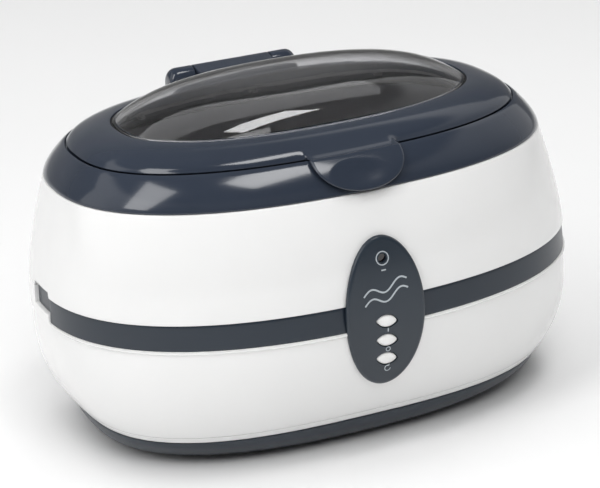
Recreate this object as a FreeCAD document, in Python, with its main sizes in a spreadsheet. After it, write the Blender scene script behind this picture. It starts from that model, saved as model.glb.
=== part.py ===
# Household ultrasonic cleaner: an oval tank of about 600 ml in a two-part white housing, on a dark
# base tray, with a dark deck, a hinged lid with a domed window, and a push-button panel in front.
# Millimetres. The origin is on the floor under the middle of the body; +X is the body's length,
# -Y is the front with the panel, and +Z is up.

import FreeCAD, Part
import math
import os
import re
import Sketcher

from FreeCAD import Placement, Rotation, Vector

doc = FreeCAD.newDocument("ultrasonic_cleaner")

# ------------------------------------------------------------------ driving dimensions

DIMENSIONS = [
    # levels of the outer skin: each has a height, a half length, a half width and an exponent
    ("floor_height", 1.6, "underside of the base tray"),
    ("floor_half_length", 82.2, "flat underside of the base tray"),
    ("floor_half_width", 49.2, "flat underside of the base tray"),
    ("floor_exponent", 2.4, "squareness of the oval at the underside"),
    ("base_height", 11.5, "joint between base tray and lower housing"),
    ("base_half_length", 89.3, "skin at that joint"),
    ("base_half_width", 57.3, "skin at that joint"),
    ("base_exponent", 2.77, "squareness at that joint"),
    ("lip_height", 51.9, "lower edge of the trim band"),
    ("lip_half_length", 102.7, "widest level of the body"),
    ("lip_half_width", 73.0, "widest level of the body"),
    ("lip_exponent", 2.36, "squareness at the widest level"),
    ("seam_height", 61.3, "joint between the two housings"),
    ("seam_half_length", 102.5, "skin at the housing joint"),
    ("seam_half_width", 71.7, "skin at the housing joint"),
    ("seam_exponent", 2.38, "squareness at the housing joint"),
    ("deck_height", 98.8, "joint between upper housing and deck"),
    ("deck_half_length", 94.2, "skin at the deck joint"),
    ("deck_half_width", 62.2, "skin at the deck joint"),
    ("deck_exponent", 2.38, "squareness at the deck joint"),
    ("rim_height", 110.2, "top edge of the deck round the lid"),
    ("rim_half_length", 86.0, "deck's top edge"),
    ("rim_half_width", 52.2, "deck's top edge"),
    ("rim_exponent", 2.46, "squareness at the deck's top edge"),
    # walls
    ("wall", 2.8, "wall of the white housings"),
    ("dark_wall", 2.4, "wall of the base tray, deck and lid"),
    ("lip_step", 0.8, "how far the lip under the band stands proud"),
    ("lip_depth", 1.6, "height of that lip"),
    # trim band and end notches
    ("band_inset", 0.5, "how far the band lies below the skin"),
    ("band_thickness", 1.4, "thickness of the band"),
    ("notch_front", -6.6, "front edge of the end notch"),
    ("notch_back", 9.0, "back edge of the end notch"),
    ("notch_low", 54.8, "lower edge of the notch"),
    ("notch_high", 63.3, "upper edge of the notch"),
    ("tail_inset", 1.4, "how far the band's tail lies below the skin"),
    # lower housing floor
    ("flange_top", 13.7, "top of the lower housing's floor flange"),
    ("hatch_half_length", 62.0, "opening in the floor flange"),
    ("hatch_half_width", 40.0, "opening in the floor flange"),
    ("hatch_exponent", 3.2, "squareness of that opening"),
    # tank
    ("tank_half_length", 78.3, "inside of the tank at its mouth"),
    ("tank_half_width", 44.6, "inside of the tank at its mouth"),
    ("tank_exponent", 2.42, "squareness of the tank"),
    ("tank_floor", 47.0, "inside floor of the tank"),
    ("tank_corner", 11.0, "radius between the tank's floor and wall"),
    ("tank_draft", 1.4, "how much narrower the tank is above its corner"),
    ("sheet_thickness", 0.8, "stainless sheet of the tank"),
    ("tank_rim", 103.9, "top of the tank's flange"),
    ("tank_flange", 5.6, "width of the tank's flange"),
    ("gasket_thickness", 1.0, "gasket between flange and deck"),
    # deck
    ("mouth_inset", 6.2, "deck opening, inward from the deck's top edge"),
    ("seat_height", 109.2, "ledge that the lid rests on"),
    ("seat_inset", 0.7, "step round the lid, inward from the deck's top edge"),
    ("neck_half_length", 88.2, "neck of the upper housing inside the deck"),
    ("neck_half_width", 55.6, "neck of the upper housing inside the deck"),
    # lid
    ("lid_bottom", 109.5, "lower edge of the lid"),
    ("lid_half_length", 84.9, "lid at its lower edge"),
    ("lid_half_width", 51.1, "lid at its lower edge"),
    ("lid_exponent", 2.47, "squareness of the lid"),
    ("window_height", 117.1, "edge of the lid's window opening"),
    ("window_half_length", 68.7, "window opening"),
    ("window_half_width", 36.1, "window opening"),
    ("window_exponent", 2.44, "squareness of the window"),
    ("window_rise", 10.6, "rise of the domed window above its opening"),
    ("window_bulge", 4.5, "power of the dome's profile; higher is flatter on top"),
    ("window_thickness", 1.8, "thickness of the window"),
    ("window_play", 0.8, "gasket's width round the window"),
    ("rabbet_depth", 1.5, "depth of the window's seat below the opening's edge"),
    ("retainer_top", 113.2, "top of the ring that clamps the window"),
    ("retainer_thickness", 1.2, "ring that clamps the window"),
    ("tongue_depth", 3.0, "how far the lid's locating lip reaches below its edge"),
    # hinge
    ("hinge_back", 57.0, "hinge axis behind the middle"),
    ("hinge_height", 114.1, "hinge axis above the floor"),
    ("knuckle_radius", 4.4, "hinge knuckles"),
    ("knuckle_half", 15.9, "half length of the lid's knuckle"),
    ("knuckle_gap", 0.4, "gap between knuckles"),
    ("knuckle_end", 26.6, "outer end of the deck's knuckles"),
    ("pin_radius", 1.5, "hinge pin"),
    ("pin_play", 0.05, "radial play of the pin in the lid"),
    # lift tab
    ("tab_half_width", 17.5, "lift tab at its root"),
    ("tab_low", 100.2, "lower end of the tab"),
    ("tab_thickness", 3.0, "tab"),
    ("tab_clearance", 0.9, "tab above the deck's slope"),
    ("scoop_radius", 15.0, "hollow for the thumb"),
    ("scoop_depth", 1.3, "hollow for the thumb"),
    # control panel
    ("panel_height", 56.6, "middle of the panel"),
    ("panel_half_width", 15.4, "panel oval"),
    ("panel_half_height", 28.1, "panel oval"),
    ("panel_front", 73.9, "foremost point of the panel, ahead of the middle"),
    ("panel_curve", 110.0, "radius of the panel's face, about a sideways axis"),
    ("panel_thickness", 2.0, "panel"),
    ("pad_margin", 2.2, "housing pad round the panel"),
    ("plug_inset", 2.4, "panel's rear rim, inward from its edge"),
    ("button_width", 8.3, "lens-shaped button, side to side"),
    ("button_height", 4.6, "lens-shaped button, up and down"),
    ("button_gap", 0.3, "gap round a button"),
    ("button_slant", 0.165, "sine of the buttons' tilt, left end up"),
    ("button_travel", 0.8, "press of a button"),
    ("on_height", 53.9, "first button"),
    ("off_height", 46.5, "second button"),
    ("reset_height", 39.2, "third button"),
    ("lamp_height", 77.0, "lamp"),
    ("lamp_radius", 1.45, "lamp"),
    # boards
    ("board_thickness", 1.6, "circuit boards"),
    ("driver_length", 96.0, "driver board"),
    ("driver_width", 56.0, "driver board"),
    ("driver_bottom", 13.6, "driver board's underside"),
    ("driver_hole_x", 43.0, "driver board's fixing holes"),
    ("driver_hole_y", 23.0, "driver board's fixing holes"),
    ("control_front", 62.6, "front face of the control board, ahead of the middle"),
    ("switch_front", 65.8, "front face of the tact switches"),
    ("control_width", 22.0, "control board"),
    ("control_low", 34.5, "control board's lower edge"),
    ("control_tall", 46.5, "control board's height"),
    ("control_post_x", 7.6, "posts that hold the control board"),
    ("control_post_low", 43.2, "lower pair of those posts"),
    ("control_post_high", 70.0, "upper pair of those posts"),
    ("post_radius", 2.2, "posts that hold the boards"),
    # transducer
    ("plate_radius", 27.0, "aluminium coupling plate under the tank"),
    ("plate_thickness", 4.0, "coupling plate"),
    ("disc_radius", 25.0, "piezo disc"),
    ("disc_thickness", 3.0, "piezo disc"),
    # fasteners and feet
    ("foot_x", 52.0, "rubber feet"),
    ("foot_y", 27.0, "rubber feet"),
    ("foot_radius", 7.0, "rubber feet"),
    ("stem_radius", 3.0, "stem of a foot"),
    ("stem_length", 1.5, "stem of a foot"),
    ("base_screw_x", 70.0, "screws through the base tray"),
    ("base_screw_y", 17.0, "screws through the base tray"),
    ("base_screw_seat", 7.2, "face under the heads of those screws"),
    ("standoff_radius", 3.0, "standoffs under the driver board"),
    ("vent_width", 2.2, "vent slots in the base tray"),
    ("vent_length", 20.0, "vent slots in the base tray"),
    ("vent_pitch", 7.0, "between neighbouring vent slots"),
    ("vent_y", 15.0, "middle of each row of vent slots"),
    ("case_screw_x", 83.5, "screws between the housings"),
    ("case_screw_y", 42.0, "screws between the housings"),
    ("screw_radius", 1.4, "thread of the housing screws"),
    ("screw_head", 2.7, "head radius of the housing screws"),
    ("head_depth", 2.0, "head height of the housing screws"),
    ("boss_radius", 4.2, "screw bosses of the housings"),
    # mains inlet
    ("inlet_height", 30.0, "middle of the mains inlet"),
    ("inlet_back", 67.4, "pad that the inlet's flange rests on, behind the middle"),
    ("inlet_flange_width", 30.0, "inlet flange"),
    ("inlet_flange_height", 19.0, "inlet flange"),
    ("inlet_flange_depth", 1.6, "inlet flange"),
    ("inlet_body_width", 22.0, "inlet body"),
    ("inlet_body_height", 13.6, "inlet body"),
    ("inlet_body_depth", 17.0, "inlet body"),
    ("socket_radius", 4.3, "rounded ends of the inlet's socket"),
    ("socket_depth", 13.0, "socket"),
    ("blade_spacing", 8.6, "between the inlet's two pins"),
    ("blade_radius", 1.18, "inlet pins"),
    ("blade_reach", 9.5, "length of a pin inside the socket"),
]

ALIASES = {alias for alias, value, note in DIMENSIONS}

sheet = doc.addObject("Spreadsheet::Sheet", "Sizes")
for row, (alias, value, note) in enumerate(DIMENSIONS, start=1):
    sheet.set("A%d" % row, note)
    sheet.set("B%d" % row, str(value))
    sheet.setAlias("B%d" % row, alias)
doc.recompute()


def size(alias):
    """One driving dimension, read from the sheet."""
    return float(sheet.get(alias))


def on_sheet(rule):
    """The rule with each dimension's name turned into its cell on the sheet."""
    return re.sub(r"[a-z_]+", lambda word: prefix(word.group(0)), rule)


def prefix(word):
    return "Sizes." + word if word in ALIASES else word


# ------------------------------------------------------------------ helpers for document objects

ALONG_X = Rotation(Vector(0, 1, 0), 90)
ALONG_BACK = Rotation(Vector(1, 0, 0), -90)
ALONG_FRONT = Rotation(Vector(1, 0, 0), 90)
UPRIGHT = Rotation()


def bind(item, rules):
    for prop, rule in rules.items():
        item.setExpression(prop, on_sheet(rule))


def place(item, at, turn=UPRIGHT):
    """Place an object; each coordinate is a number or a rule on the sheet."""
    numbers = [0.0 if isinstance(value, str) else value for value in at]
    item.Placement = Placement(Vector(*numbers), turn)
    for axis, value in zip("xyz", at):
        if isinstance(value, str):
            item.setExpression(".Placement.Base." + axis, on_sheet(value))
    return item


def cylinder(name, radius, height, at, turn=UPRIGHT):
    item = doc.addObject("Part::Cylinder", name)
    bind(item, {"Radius": radius, "Height": height})
    return place(item, at, turn)


def box(name, length, width, height, at):
    """A block centred in X and Y on its place, standing on it."""
    item = doc.addObject("Part::Box", name)
    bind(item, {"Length": length, "Width": width, "Height": height})
    corner = []
    for value, side in zip(at, (length, width)):
        corner.append("(%s) - (%s) / 2" % (value, side))
    return place(item, corner + [at[2]])


def torus(name, ring_radius, tube_radius, at, turn=UPRIGHT):
    item = doc.addObject("Part::Torus", name)
    bind(item, {"Radius1": ring_radius, "Radius2": tube_radius})
    return place(item, at, turn)


def free_form(name, shape):
    """A shape that only Part's own functions can make, such as a loft of ovals."""
    item = doc.addObject("Part::Feature", name)
    item.Shape = shape
    return item


def join(name, pieces):
    if len(pieces) == 1:
        return pieces[0]
    item = doc.addObject("Part::MultiFuse", name)
    item.Shapes = pieces
    return item


def cut(name, base, tools):
    item = doc.addObject("Part::Cut", name)
    item.Base = base
    item.Tool = join(name + "_tools", tools)
    return item


def common(name, first, second):
    item = doc.addObject("Part::Common", name)
    item.Base = first
    item.Tool = second
    return item


def group(name, pieces):
    """Several separate solids that share one node."""
    item = doc.addObject("Part::Compound", name)
    item.Links = pieces
    return item


NODES = []


def node(label, item):
    """Name the finished sub-part, which is exported under this label."""
    item.Label = label
    NODES.append(item)
    return item


def corners(x_rule, y_rule):
    """The four mirrored places of a symmetrical set, with a tag for each."""
    for tag, x_sign, y_sign in (("fl", -1, -1), ("fr", 1, -1), ("bl", -1, 1), ("br", 1, 1)):
        yield tag, "%d * %s" % (x_sign, x_rule), "%d * %s" % (y_sign, y_rule)


# ------------------------------------------------------------------ ovals and lofts

OVAL_POINTS = 40


def oval_wire(level, inset=0.0, quartered=False):
    """Closed smooth curve |x/a|^n + |y/b|^n = 1 at one level, as one edge or as four equal quarters."""
    height, half_length, half_width, exponent = level
    a = half_length - inset
    b = half_width - inset
    points = []
    for step in range(OVAL_POINTS):
        angle = 2 * math.pi * step / OVAL_POINTS
        along = abs(math.cos(angle) / a) ** exponent
        across = abs(math.sin(angle) / b) ** exponent
        reach = (along + across) ** (-1.0 / exponent)
        points.append(Vector(reach * math.cos(angle), reach * math.sin(angle), height))
    curve = Part.BSplineCurve()
    curve.interpolate(Points=points, PeriodicFlag=True)
    if not quartered:
        return Part.Wire(curve.toShape())
    quarter = OVAL_POINTS // 4
    ends = [curve.FirstParameter]
    ends += [curve.parameter(points[index * quarter]) for index in (1, 2, 3)]
    ends.append(curve.LastParameter)
    return Part.Wire([curve.toShape(start, end) for start, end in zip(ends, ends[1:])])


def oval_solid(levels, inset=0.0, quartered=False):
    """Solid through a stack of ovals, straight from each level to the next."""
    wires = [oval_wire(level, inset, quartered) for level in levels]
    return Part.makeLoft(wires, True, True)


def straight(low, high, level, inset=0.0, quartered=False):
    """Upright oval block between two heights with one outline."""
    height, half_length, half_width, exponent = level
    return oval_solid(
        [(low, half_length, half_width, exponent), (high, half_length, half_width, exponent)],
        inset,
        quartered,
    )


def level_of(prefix_word):
    """A level whose four dimensions share a first word on the sheet."""
    parts = ("height", "half_length", "half_width", "exponent")
    return tuple(size("%s_%s" % (prefix_word, part)) for part in parts)


def between(low, high, height, length_bend=1.0, width_bend=1.0):
    """Skin level between two levels; a bend over 1 bulges the profile towards the low level."""
    share = (height - low[0]) / (high[0] - low[0])
    half_length = low[1] + (high[1] - low[1]) * share ** length_bend
    half_width = low[2] + (high[2] - low[2]) * share ** width_bend
    exponent = low[3] + (high[3] - low[3]) * share
    return (height, half_length, half_width, exponent)


def steps(low, high, count):
    return [low + (high - low) * index / (count - 1) for index in range(count)]


FLOOR = level_of("floor")
BASE = level_of("base")
LIP = level_of("lip")
SEAM = level_of("seam")
DECK = level_of("deck")
RIM = level_of("rim")


def skin(height):
    """Level of the whole body's outer skin at a height."""
    if height <= BASE[0]:
        return between(BASE, FLOOR, height, 2.2, 2.2)
    if height <= LIP[0]:
        shoulder = (LIP[0], LIP[1] - size("lip_step"), LIP[2] - size("lip_step"), LIP[3])
        return between(shoulder, BASE, height, 3.0, 2.0)
    if height <= SEAM[0]:
        return between(LIP, SEAM, height)
    if height <= DECK[0]:
        return between(SEAM, DECK, height, 1.25, 1.9)
    return between(DECK, RIM, height, 1.45, 1.45)


def band_skin(height):
    """Skin between the lip and the seam, carried on straight above and below them."""
    return between(LIP, SEAM, height)


def skin_solid(low, high, count, inset=0.0):
    return oval_solid([skin(height) for height in steps(low, high, count)], inset)


def slab(low_z, high_z, low_y=-200.0, high_y=200.0):
    """Large block used to keep only part of an oval solid."""
    return Part.makeBox(400, high_y - low_y, high_z - low_z, Vector(-200, low_y, low_z))


# ------------------------------------------------------------------ panel geometry shared by several pieces

PANEL_AXIS_Y = "panel_curve - panel_front"


def panel_prism(name, margin):
    """Elliptical bar along Y through the front wall; margin is added to the panel's oval."""
    outline = doc.addObject("Part::Ellipse", name + "_outline")
    bind(outline, {
        "MajorRadius": "panel_half_height + " + margin,
        "MinorRadius": "panel_half_width + " + margin,
    })
    turn = Rotation(Vector(0, 0, 1), Vector(1, 0, 0), Vector(0, 1, 0), "XYZ")
    place(outline, (0, -90, "panel_height"), turn)
    bar = doc.addObject("Part::Extrusion", name)
    bar.Base = outline
    bar.DirMode = "Custom"
    bar.Dir = Vector(0, 1, 0)
    bar.LengthFwd = 40
    bar.Solid = True
    return bar


def panel_drum(name, depth):
    """Large drum whose front side is the panel's face set back by a depth."""
    return cylinder(
        name,
        "panel_curve - (%s)" % depth,
        "120",
        (-60, PANEL_AXIS_Y, "panel_height"),
        ALONG_X,
    )


def lens_bar(name, height_rule, margin, front, length):
    """Bar along Y with two arcs meeting in points left and right."""
    half = "(button_width / 2 + %s)" % margin
    rise = "(button_height / 2 + %s)" % margin
    radius = "(%s ^ 2 + %s ^ 2) / (2 * %s)" % (half, rise, rise)
    aside = "(%s - %s) * button_slant" % (radius, rise)
    down = "(%s - %s) * sqrt(1 - button_slant ^ 2)" % (radius, rise)
    upper = cylinder(name + "_upper", radius, length,
                     ("0 - " + aside, front, "%s - %s" % (height_rule, down)), ALONG_BACK)
    lower = cylinder(name + "_lower", radius, length,
                     (aside, front, "%s + %s" % (height_rule, down)), ALONG_BACK)
    return common(name, upper, lower)


BUTTONS = ("on", "off", "reset")


def panel_face(height_rule):
    """How far ahead of the middle the panel's face lies at a height on its centre line."""
    drop = "((%s - panel_height) ^ 2)" % height_rule
    return "(sqrt(panel_curve ^ 2 - %s) - panel_curve + panel_front)" % drop


# ------------------------------------------------------------------ base tray, feet and base screws


def make_base_tray():
    low = size("floor_height")
    high = size("base_height")
    outside = free_form("tray_outside", skin_solid(low, high, 7))
    floor_top = low + size("dark_wall")
    hollow = free_form("tray_hollow", skin_solid(floor_top, high + 1e-6, 5, size("dark_wall") + 0.6))
    rim_cut = free_form("tray_rim_cut", straight(high, high + 2, BASE, size("dark_wall") + 0.6))
    shell = cut("tray_shell", outside, [hollow, rim_cut])
    foot_of_post = "floor_height + dark_wall - 0.1"
    posts = []
    for tag, x, y in corners("base_screw_x", "base_screw_y"):
        posts.append(cylinder("tray_post_" + tag, "boss_radius", "base_height - (%s)" % foot_of_post,
                              (x, y, foot_of_post)))
    for tag, x, y in corners("driver_hole_x", "driver_hole_y"):
        posts.append(cylinder("standoff_" + tag, "standoff_radius", "driver_bottom - (%s)" % foot_of_post,
                              (x, y, foot_of_post)))
    solid = join("tray_with_posts", [shell] + posts)
    holes = []
    for tag, x, y in corners("base_screw_x", "base_screw_y"):
        holes.append(cylinder("tray_hole_" + tag, "screw_radius + 0.2", "20", (x, y, 0)))
        holes.append(cylinder("tray_sink_" + tag, "screw_head + 0.5", "base_screw_seat", (x, y, 0)))
    for tag, x, y in corners("driver_hole_x", "driver_hole_y"):
        holes.append(cylinder("standoff_hole_" + tag, "1.1", "7", (x, y, "driver_bottom - 6")))
    for tag, x, y in corners("foot_x", "foot_y"):
        holes.append(cylinder("foot_hole_" + tag, "stem_radius + 0.02", "stem_length + 0.2",
                              (x, y, "floor_height")))
    for column in range(-4, 5):
        for side in (-1, 1):
            name = "vent_%d_%d" % (column + 4, side + 1)
            holes.append(box(name, "vent_width", "vent_length", "dark_wall + 1",
                             ("%d * vent_pitch" % column, "%d * vent_y" % side, "floor_height - 0.5")))
    return node("base_tray", cut("base_tray_solid", solid, holes))


def make_rubber_feet():
    feet = []
    for tag, x, y in corners("foot_x", "foot_y"):
        pad = cylinder("foot_pad_" + tag, "foot_radius", "floor_height", (x, y, 0))
        stem = cylinder("foot_stem_" + tag, "stem_radius", "stem_length + floor_height", (x, y, 0))
        feet.append(join("foot_" + tag, [pad, stem]))
    return node("rubber_feet", group("feet_group", feet))


def make_screws(label, places, face, length, from_above=False, scale=1.0):
    """Pan-head screws; each head touches its face, and the shank goes through it."""
    screws = []
    for tag, x, y in places:
        name = "%s_%s" % (label, tag)
        head_low = face if from_above else "%s - head_depth" % face
        shank_low = "%s - %s" % (face, length) if from_above else face
        head = cylinder(name + "_head", "screw_head * %s" % scale, "head_depth", (x, y, head_low))
        shank = cylinder(name + "_shank", "screw_radius * %s" % scale, length, (x, y, shank_low))
        screws.append(join(name, [head, shank]))
    return node(label, group(label + "_group", screws))


# ------------------------------------------------------------------ white housings


def front_opening(name):
    """Opening in the front wall that the panel's rear rim sits in."""
    return panel_prism(name, "0 - plug_inset")


def panel_pocket(name):
    """Shallow pocket that lets the panel in wherever the skin stands further out than its back."""
    bar = panel_prism(name + "_bar", "0.15")
    return cut(name, bar, [panel_drum(name + "_drum", "panel_thickness + 0.05")])


def housing_pad(name, low, high):
    """Block behind the panel that fills the wall out to the panel's back."""
    bar = panel_prism(name + "_bar", "pad_margin - 3")
    drum = panel_drum(name + "_drum", "panel_thickness + 0.05")
    front = common(name + "_front", bar, drum)
    keep = free_form(name + "_keep", slab(low, high, -90, -size("control_front") - 2.0))
    return common(name, front, keep)


def notch_block(name, low, high, inset):
    """Both end notches: what lies outside an inset skin between two heights and two depths."""
    front = size("notch_front")
    back = size("notch_back")
    outside = slab(low, high, front, back)
    core = oval_solid([band_skin(height) for height in steps(low - 2, high + 2, 5)], inset)
    return free_form(name, outside.cut(core))


def band_groove(inset, play):
    """Front groove that the band lies in: outside an inset skin, ahead of the notches."""
    low = size("lip_height") - play
    high = size("seam_height") + 1.0
    core = oval_solid([band_skin(height) for height in steps(low - 1, high + 1, 4)], inset)
    return slab(low, high, -200, size("notch_front")).cut(core)


def make_lower_housing():
    low = size("base_height")
    high = size("seam_height")
    wall = size("wall")
    shoulder = size("lip_height") - size("lip_depth")
    edge = skin(shoulder)
    levels = [skin(height) for height in steps(low, shoulder, 10)]
    levels += [(shoulder + 0.05, edge[1] + 0.5, edge[2] + 0.5, edge[3]), LIP, skin(high)]
    outside = free_form("lower_outside", oval_solid(levels))
    hollow_low = size("flange_top")
    hollow = [skin(height) for height in steps(hollow_low, shoulder, 7)]
    hollow += [(high + 1, LIP[1] - size("lip_step"), LIP[2] - size("lip_step"), LIP[3])]
    inside = free_form("lower_inside", oval_solid(hollow, wall))
    hatch = free_form("lower_hatch", straight(low - 1, hollow_low + 1, level_of_hatch()))
    shell = cut("lower_shell", outside, [inside, hatch])
    extras = [housing_pad("lower_pad", size("base_height") + 8, high)]
    for tag, x, y in corners("base_screw_x", "base_screw_y"):
        extras.append(cylinder("lower_post_" + tag, "boss_radius", "14", (x, y, "base_height")))
    room = free_form("boss_room", skin_solid(30, high, 6, 1.0))
    bosses = []
    for tag, x, y in corners("case_screw_x", "case_screw_y"):
        bosses.append(cylinder("lower_boss_" + tag, "boss_radius", "seam_height - 44", (x, y, 44)))
    extras.append(common("lower_bosses", group("lower_boss_group", bosses), room))
    extras.append(box("inlet_pad", "inlet_flange_width + 4", "9", "inlet_flange_height + 4",
                      (0, "inlet_back - 4.5", "inlet_height - inlet_flange_height / 2 - 2")))
    solid = join("lower_solid", [shell] + extras)
    band_depth = size("band_inset") + size("band_thickness") + 0.1
    tail_depth = size("tail_inset") + size("band_thickness") - 0.2
    tools = [
        free_form("lower_groove", band_groove(band_depth, 0.0)),
        notch_block("lower_notch", size("notch_low"), high + 1, tail_depth),
        front_opening("lower_opening"),
        panel_pocket("lower_pocket"),
        box("inlet_recess", "inlet_flange_width + 0.6", "10", "inlet_flange_height + 0.6",
            (0, "inlet_back + 5", "inlet_height - inlet_flange_height / 2 - 0.3")),
        box("inlet_window", "inlet_body_width + 0.4", "40", "inlet_body_height + 0.4",
            (0, 60, "inlet_height - inlet_body_height / 2 - 0.2")),
    ]
    for tag, x, y in corners("base_screw_x", "base_screw_y"):
        tools.append(cylinder("lower_pilot_" + tag, "screw_radius + 0.05", "12", (x, y, "base_height")))
    for tag, x, y in corners("case_screw_x", "case_screw_y"):
        tools.append(cylinder("lower_clear_" + tag, "screw_radius + 0.2", "30", (x, y, 40)))
        tools.append(cylinder("lower_sink_" + tag, "screw_head + 0.3", "10", (x, y, 34)))
    return node("lower_housing", cut("lower_housing_solid", solid, tools))


def level_of_hatch():
    return (0.0, size("hatch_half_length"), size("hatch_half_width"), size("hatch_exponent"))


def make_upper_housing():
    low = size("seam_height")
    high = size("deck_height")
    wall = size("wall")
    neck = (0.0, size("neck_half_length"), size("neck_half_width"), size("deck_exponent"))
    shelf_top = size("tank_rim") - size("sheet_thickness")
    shelf_low = shelf_top - 2.2
    outside = skin_solid(low, high, 7)
    inside = skin_solid(low - 0.01, high + 0.01, 7, wall)
    shell = outside.cut(inside)
    ledge = straight(high - 2.4, high, skin(high), 1.0).cut(straight(high - 3, high + 1, neck, 2.4))
    collar = straight(high - 2.4, shelf_top, neck).cut(straight(high - 3, shelf_low, neck, 2.4))
    tank_room = straight(high - 5, shelf_top + 1, tank_level(), -size("sheet_thickness") - 0.5)
    body = free_form("upper_body", shell.fuse([ledge, collar]).cut(tank_room).removeSplitter())
    room = free_form("upper_boss_room", skin_solid(low, high, 6, 1.0))
    bosses = []
    for tag, x, y in corners("case_screw_x", "case_screw_y"):
        bosses.append(cylinder("upper_boss_" + tag, "boss_radius", "15", (x, y, "seam_height")))
    extras = [
        housing_pad("upper_pad", low, high),
        common("upper_bosses", group("upper_boss_group", bosses), room),
    ]
    solid = join("upper_solid", [body] + extras)
    tail_depth = size("tail_inset") + size("band_thickness") - 0.2
    tools = [
        front_opening("upper_opening"),
        panel_pocket("upper_pocket"),
        notch_block("upper_notch", low - 1, size("notch_high"), tail_depth),
    ]
    for tag, x, y in corners("case_screw_x", "case_screw_y"):
        tools.append(cylinder("upper_pilot_" + tag, "screw_radius + 0.05", "11", (x, y, "seam_height")))
    for tag, x, y in deck_screw_places():
        tools.append(cylinder("shelf_hole_" + tag, "screw_radius", "10", (x, y, shelf_low - 2)))
        tools.append(cylinder("shelf_sink_" + tag, "screw_head * 0.8 + 0.2", "4", (x, y, shelf_low - 4)))
    return node("upper_housing", cut("upper_housing_solid", solid, tools))


def make_trim_band():
    """Front band with a tail at each end that lies deeper, in the notch."""
    play = 0.1
    low = size("lip_height") + 0.02
    high = size("seam_height") - 0.02
    depth = size("band_inset") + size("band_thickness")
    heights = steps(low, high, 3)
    ring = oval_solid([band_skin(height) for height in heights], size("band_inset"))
    ring = ring.cut(oval_solid([band_skin(height) for height in steps(low - 1, high + 1, 3)], depth))
    front = ring.common(slab(low, high, -200, size("notch_front") - play))
    tail_low = size("notch_low") + play
    tail_high = size("notch_high") - play
    tail_heights = steps(tail_low, tail_high, 3)
    tail = oval_solid([band_skin(height) for height in tail_heights], size("tail_inset"))
    tail_core = [band_skin(height) for height in steps(tail_low - 1, tail_high + 1, 3)]
    tail = tail.cut(oval_solid(tail_core, size("tail_inset") + size("band_thickness") - 0.4))
    tails = tail.common(slab(tail_low, tail_high, size("notch_front") + play, size("notch_back") - play))
    link_low = tail_low + 0.3
    link_high = high - 0.3
    link = oval_solid([band_skin(height) for height in steps(link_low - 0.5, link_high + 0.5, 3)],
                      size("tail_inset") + 0.12)
    link = link.cut(oval_solid([band_skin(height) for height in steps(link_low - 1, link_high + 1, 3)],
                               depth - 0.1))
    reach = 2.0
    link = link.common(slab(link_low, link_high, size("notch_front") - reach, size("notch_front") + reach))
    strip = free_form("band_strip", front.fuse(link).fuse(tails))
    return node("trim_band", cut("trim_band_solid", strip, [panel_prism("band_end_cut", "0.1")]))


# ------------------------------------------------------------------ tank and transducer


def tank_level():
    return (0.0, size("tank_half_length"), size("tank_half_width"), size("tank_exponent"))


def tank_bowl(thickness, above=0.0):
    """The tank's inside, or its outside when a sheet thickness is added."""
    corner = size("tank_corner") + thickness
    floor = size("tank_floor") - thickness
    mouth = size("tank_rim")
    length = size("tank_half_length") + thickness
    width = size("tank_half_width") + thickness
    exponent = size("tank_exponent")
    draft = size("tank_draft")
    levels = []
    for step in range(7):
        turn = math.pi / 2 * step / 6
        inset = draft + corner * (1 - math.sin(turn))
        height = floor + corner * (1 - math.cos(turn))
        levels.append((height, length - inset, width - inset, exponent))
    levels.append((mouth, length, width, exponent))
    if above > 0.0:
        levels.append((mouth + above, length, width, exponent))
    return oval_solid(levels, quartered=True)


def make_tank():
    """Deep-drawn tank; its faces are quartered so that the thin sheet's mass comes out right."""
    sheet_thickness = size("sheet_thickness")
    rim = size("tank_rim")
    flange = straight(rim - sheet_thickness, rim, tank_level(), -size("tank_flange"), True)
    solid = tank_bowl(sheet_thickness).fuse(flange).cut(tank_bowl(0.0, 1.0))
    return node("tank", free_form("tank_solid", solid.removeSplitter()))


def make_tank_gasket():
    rim = size("tank_rim")
    top = rim + size("gasket_thickness")
    ring = straight(rim, top, tank_level(), -size("tank_flange") + 0.3)
    opening = straight(rim - 1, top + 1, mouth_level(), -0.4)
    return node("tank_gasket", free_form("gasket_solid", ring.cut(opening)))


def make_transducer():
    under_tank = "tank_floor - sheet_thickness"
    plate = cylinder("plate", "plate_radius", "plate_thickness", (0, 0, under_tank + " - plate_thickness"))
    disc_low = under_tank + " - plate_thickness - disc_thickness"
    disc = cylinder("disc", "disc_radius", "disc_thickness", (0, 0, disc_low))
    node("transducer_plate", plate)
    node("piezo_disc", disc)


# ------------------------------------------------------------------ deck and hinge


def mouth_level():
    inset = size("mouth_inset")
    return (0.0, RIM[1] - inset, RIM[2] - inset, RIM[3])


def deck_screw_places():
    """Places of the deck screws, evenly spread round the oval between flange and deck wall."""
    for index in range(6):
        angle = math.pi / 2 + 2 * math.pi * (index + 0.5) / 6
        a = size("neck_half_length") - 1.9
        b = size("neck_half_width") - 1.9
        n = size("deck_exponent")
        reach = (abs(math.cos(angle) / a) ** n + abs(math.sin(angle) / b) ** n) ** (-1.0 / n)
        yield str(index), reach * math.cos(angle), reach * math.sin(angle)


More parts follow.
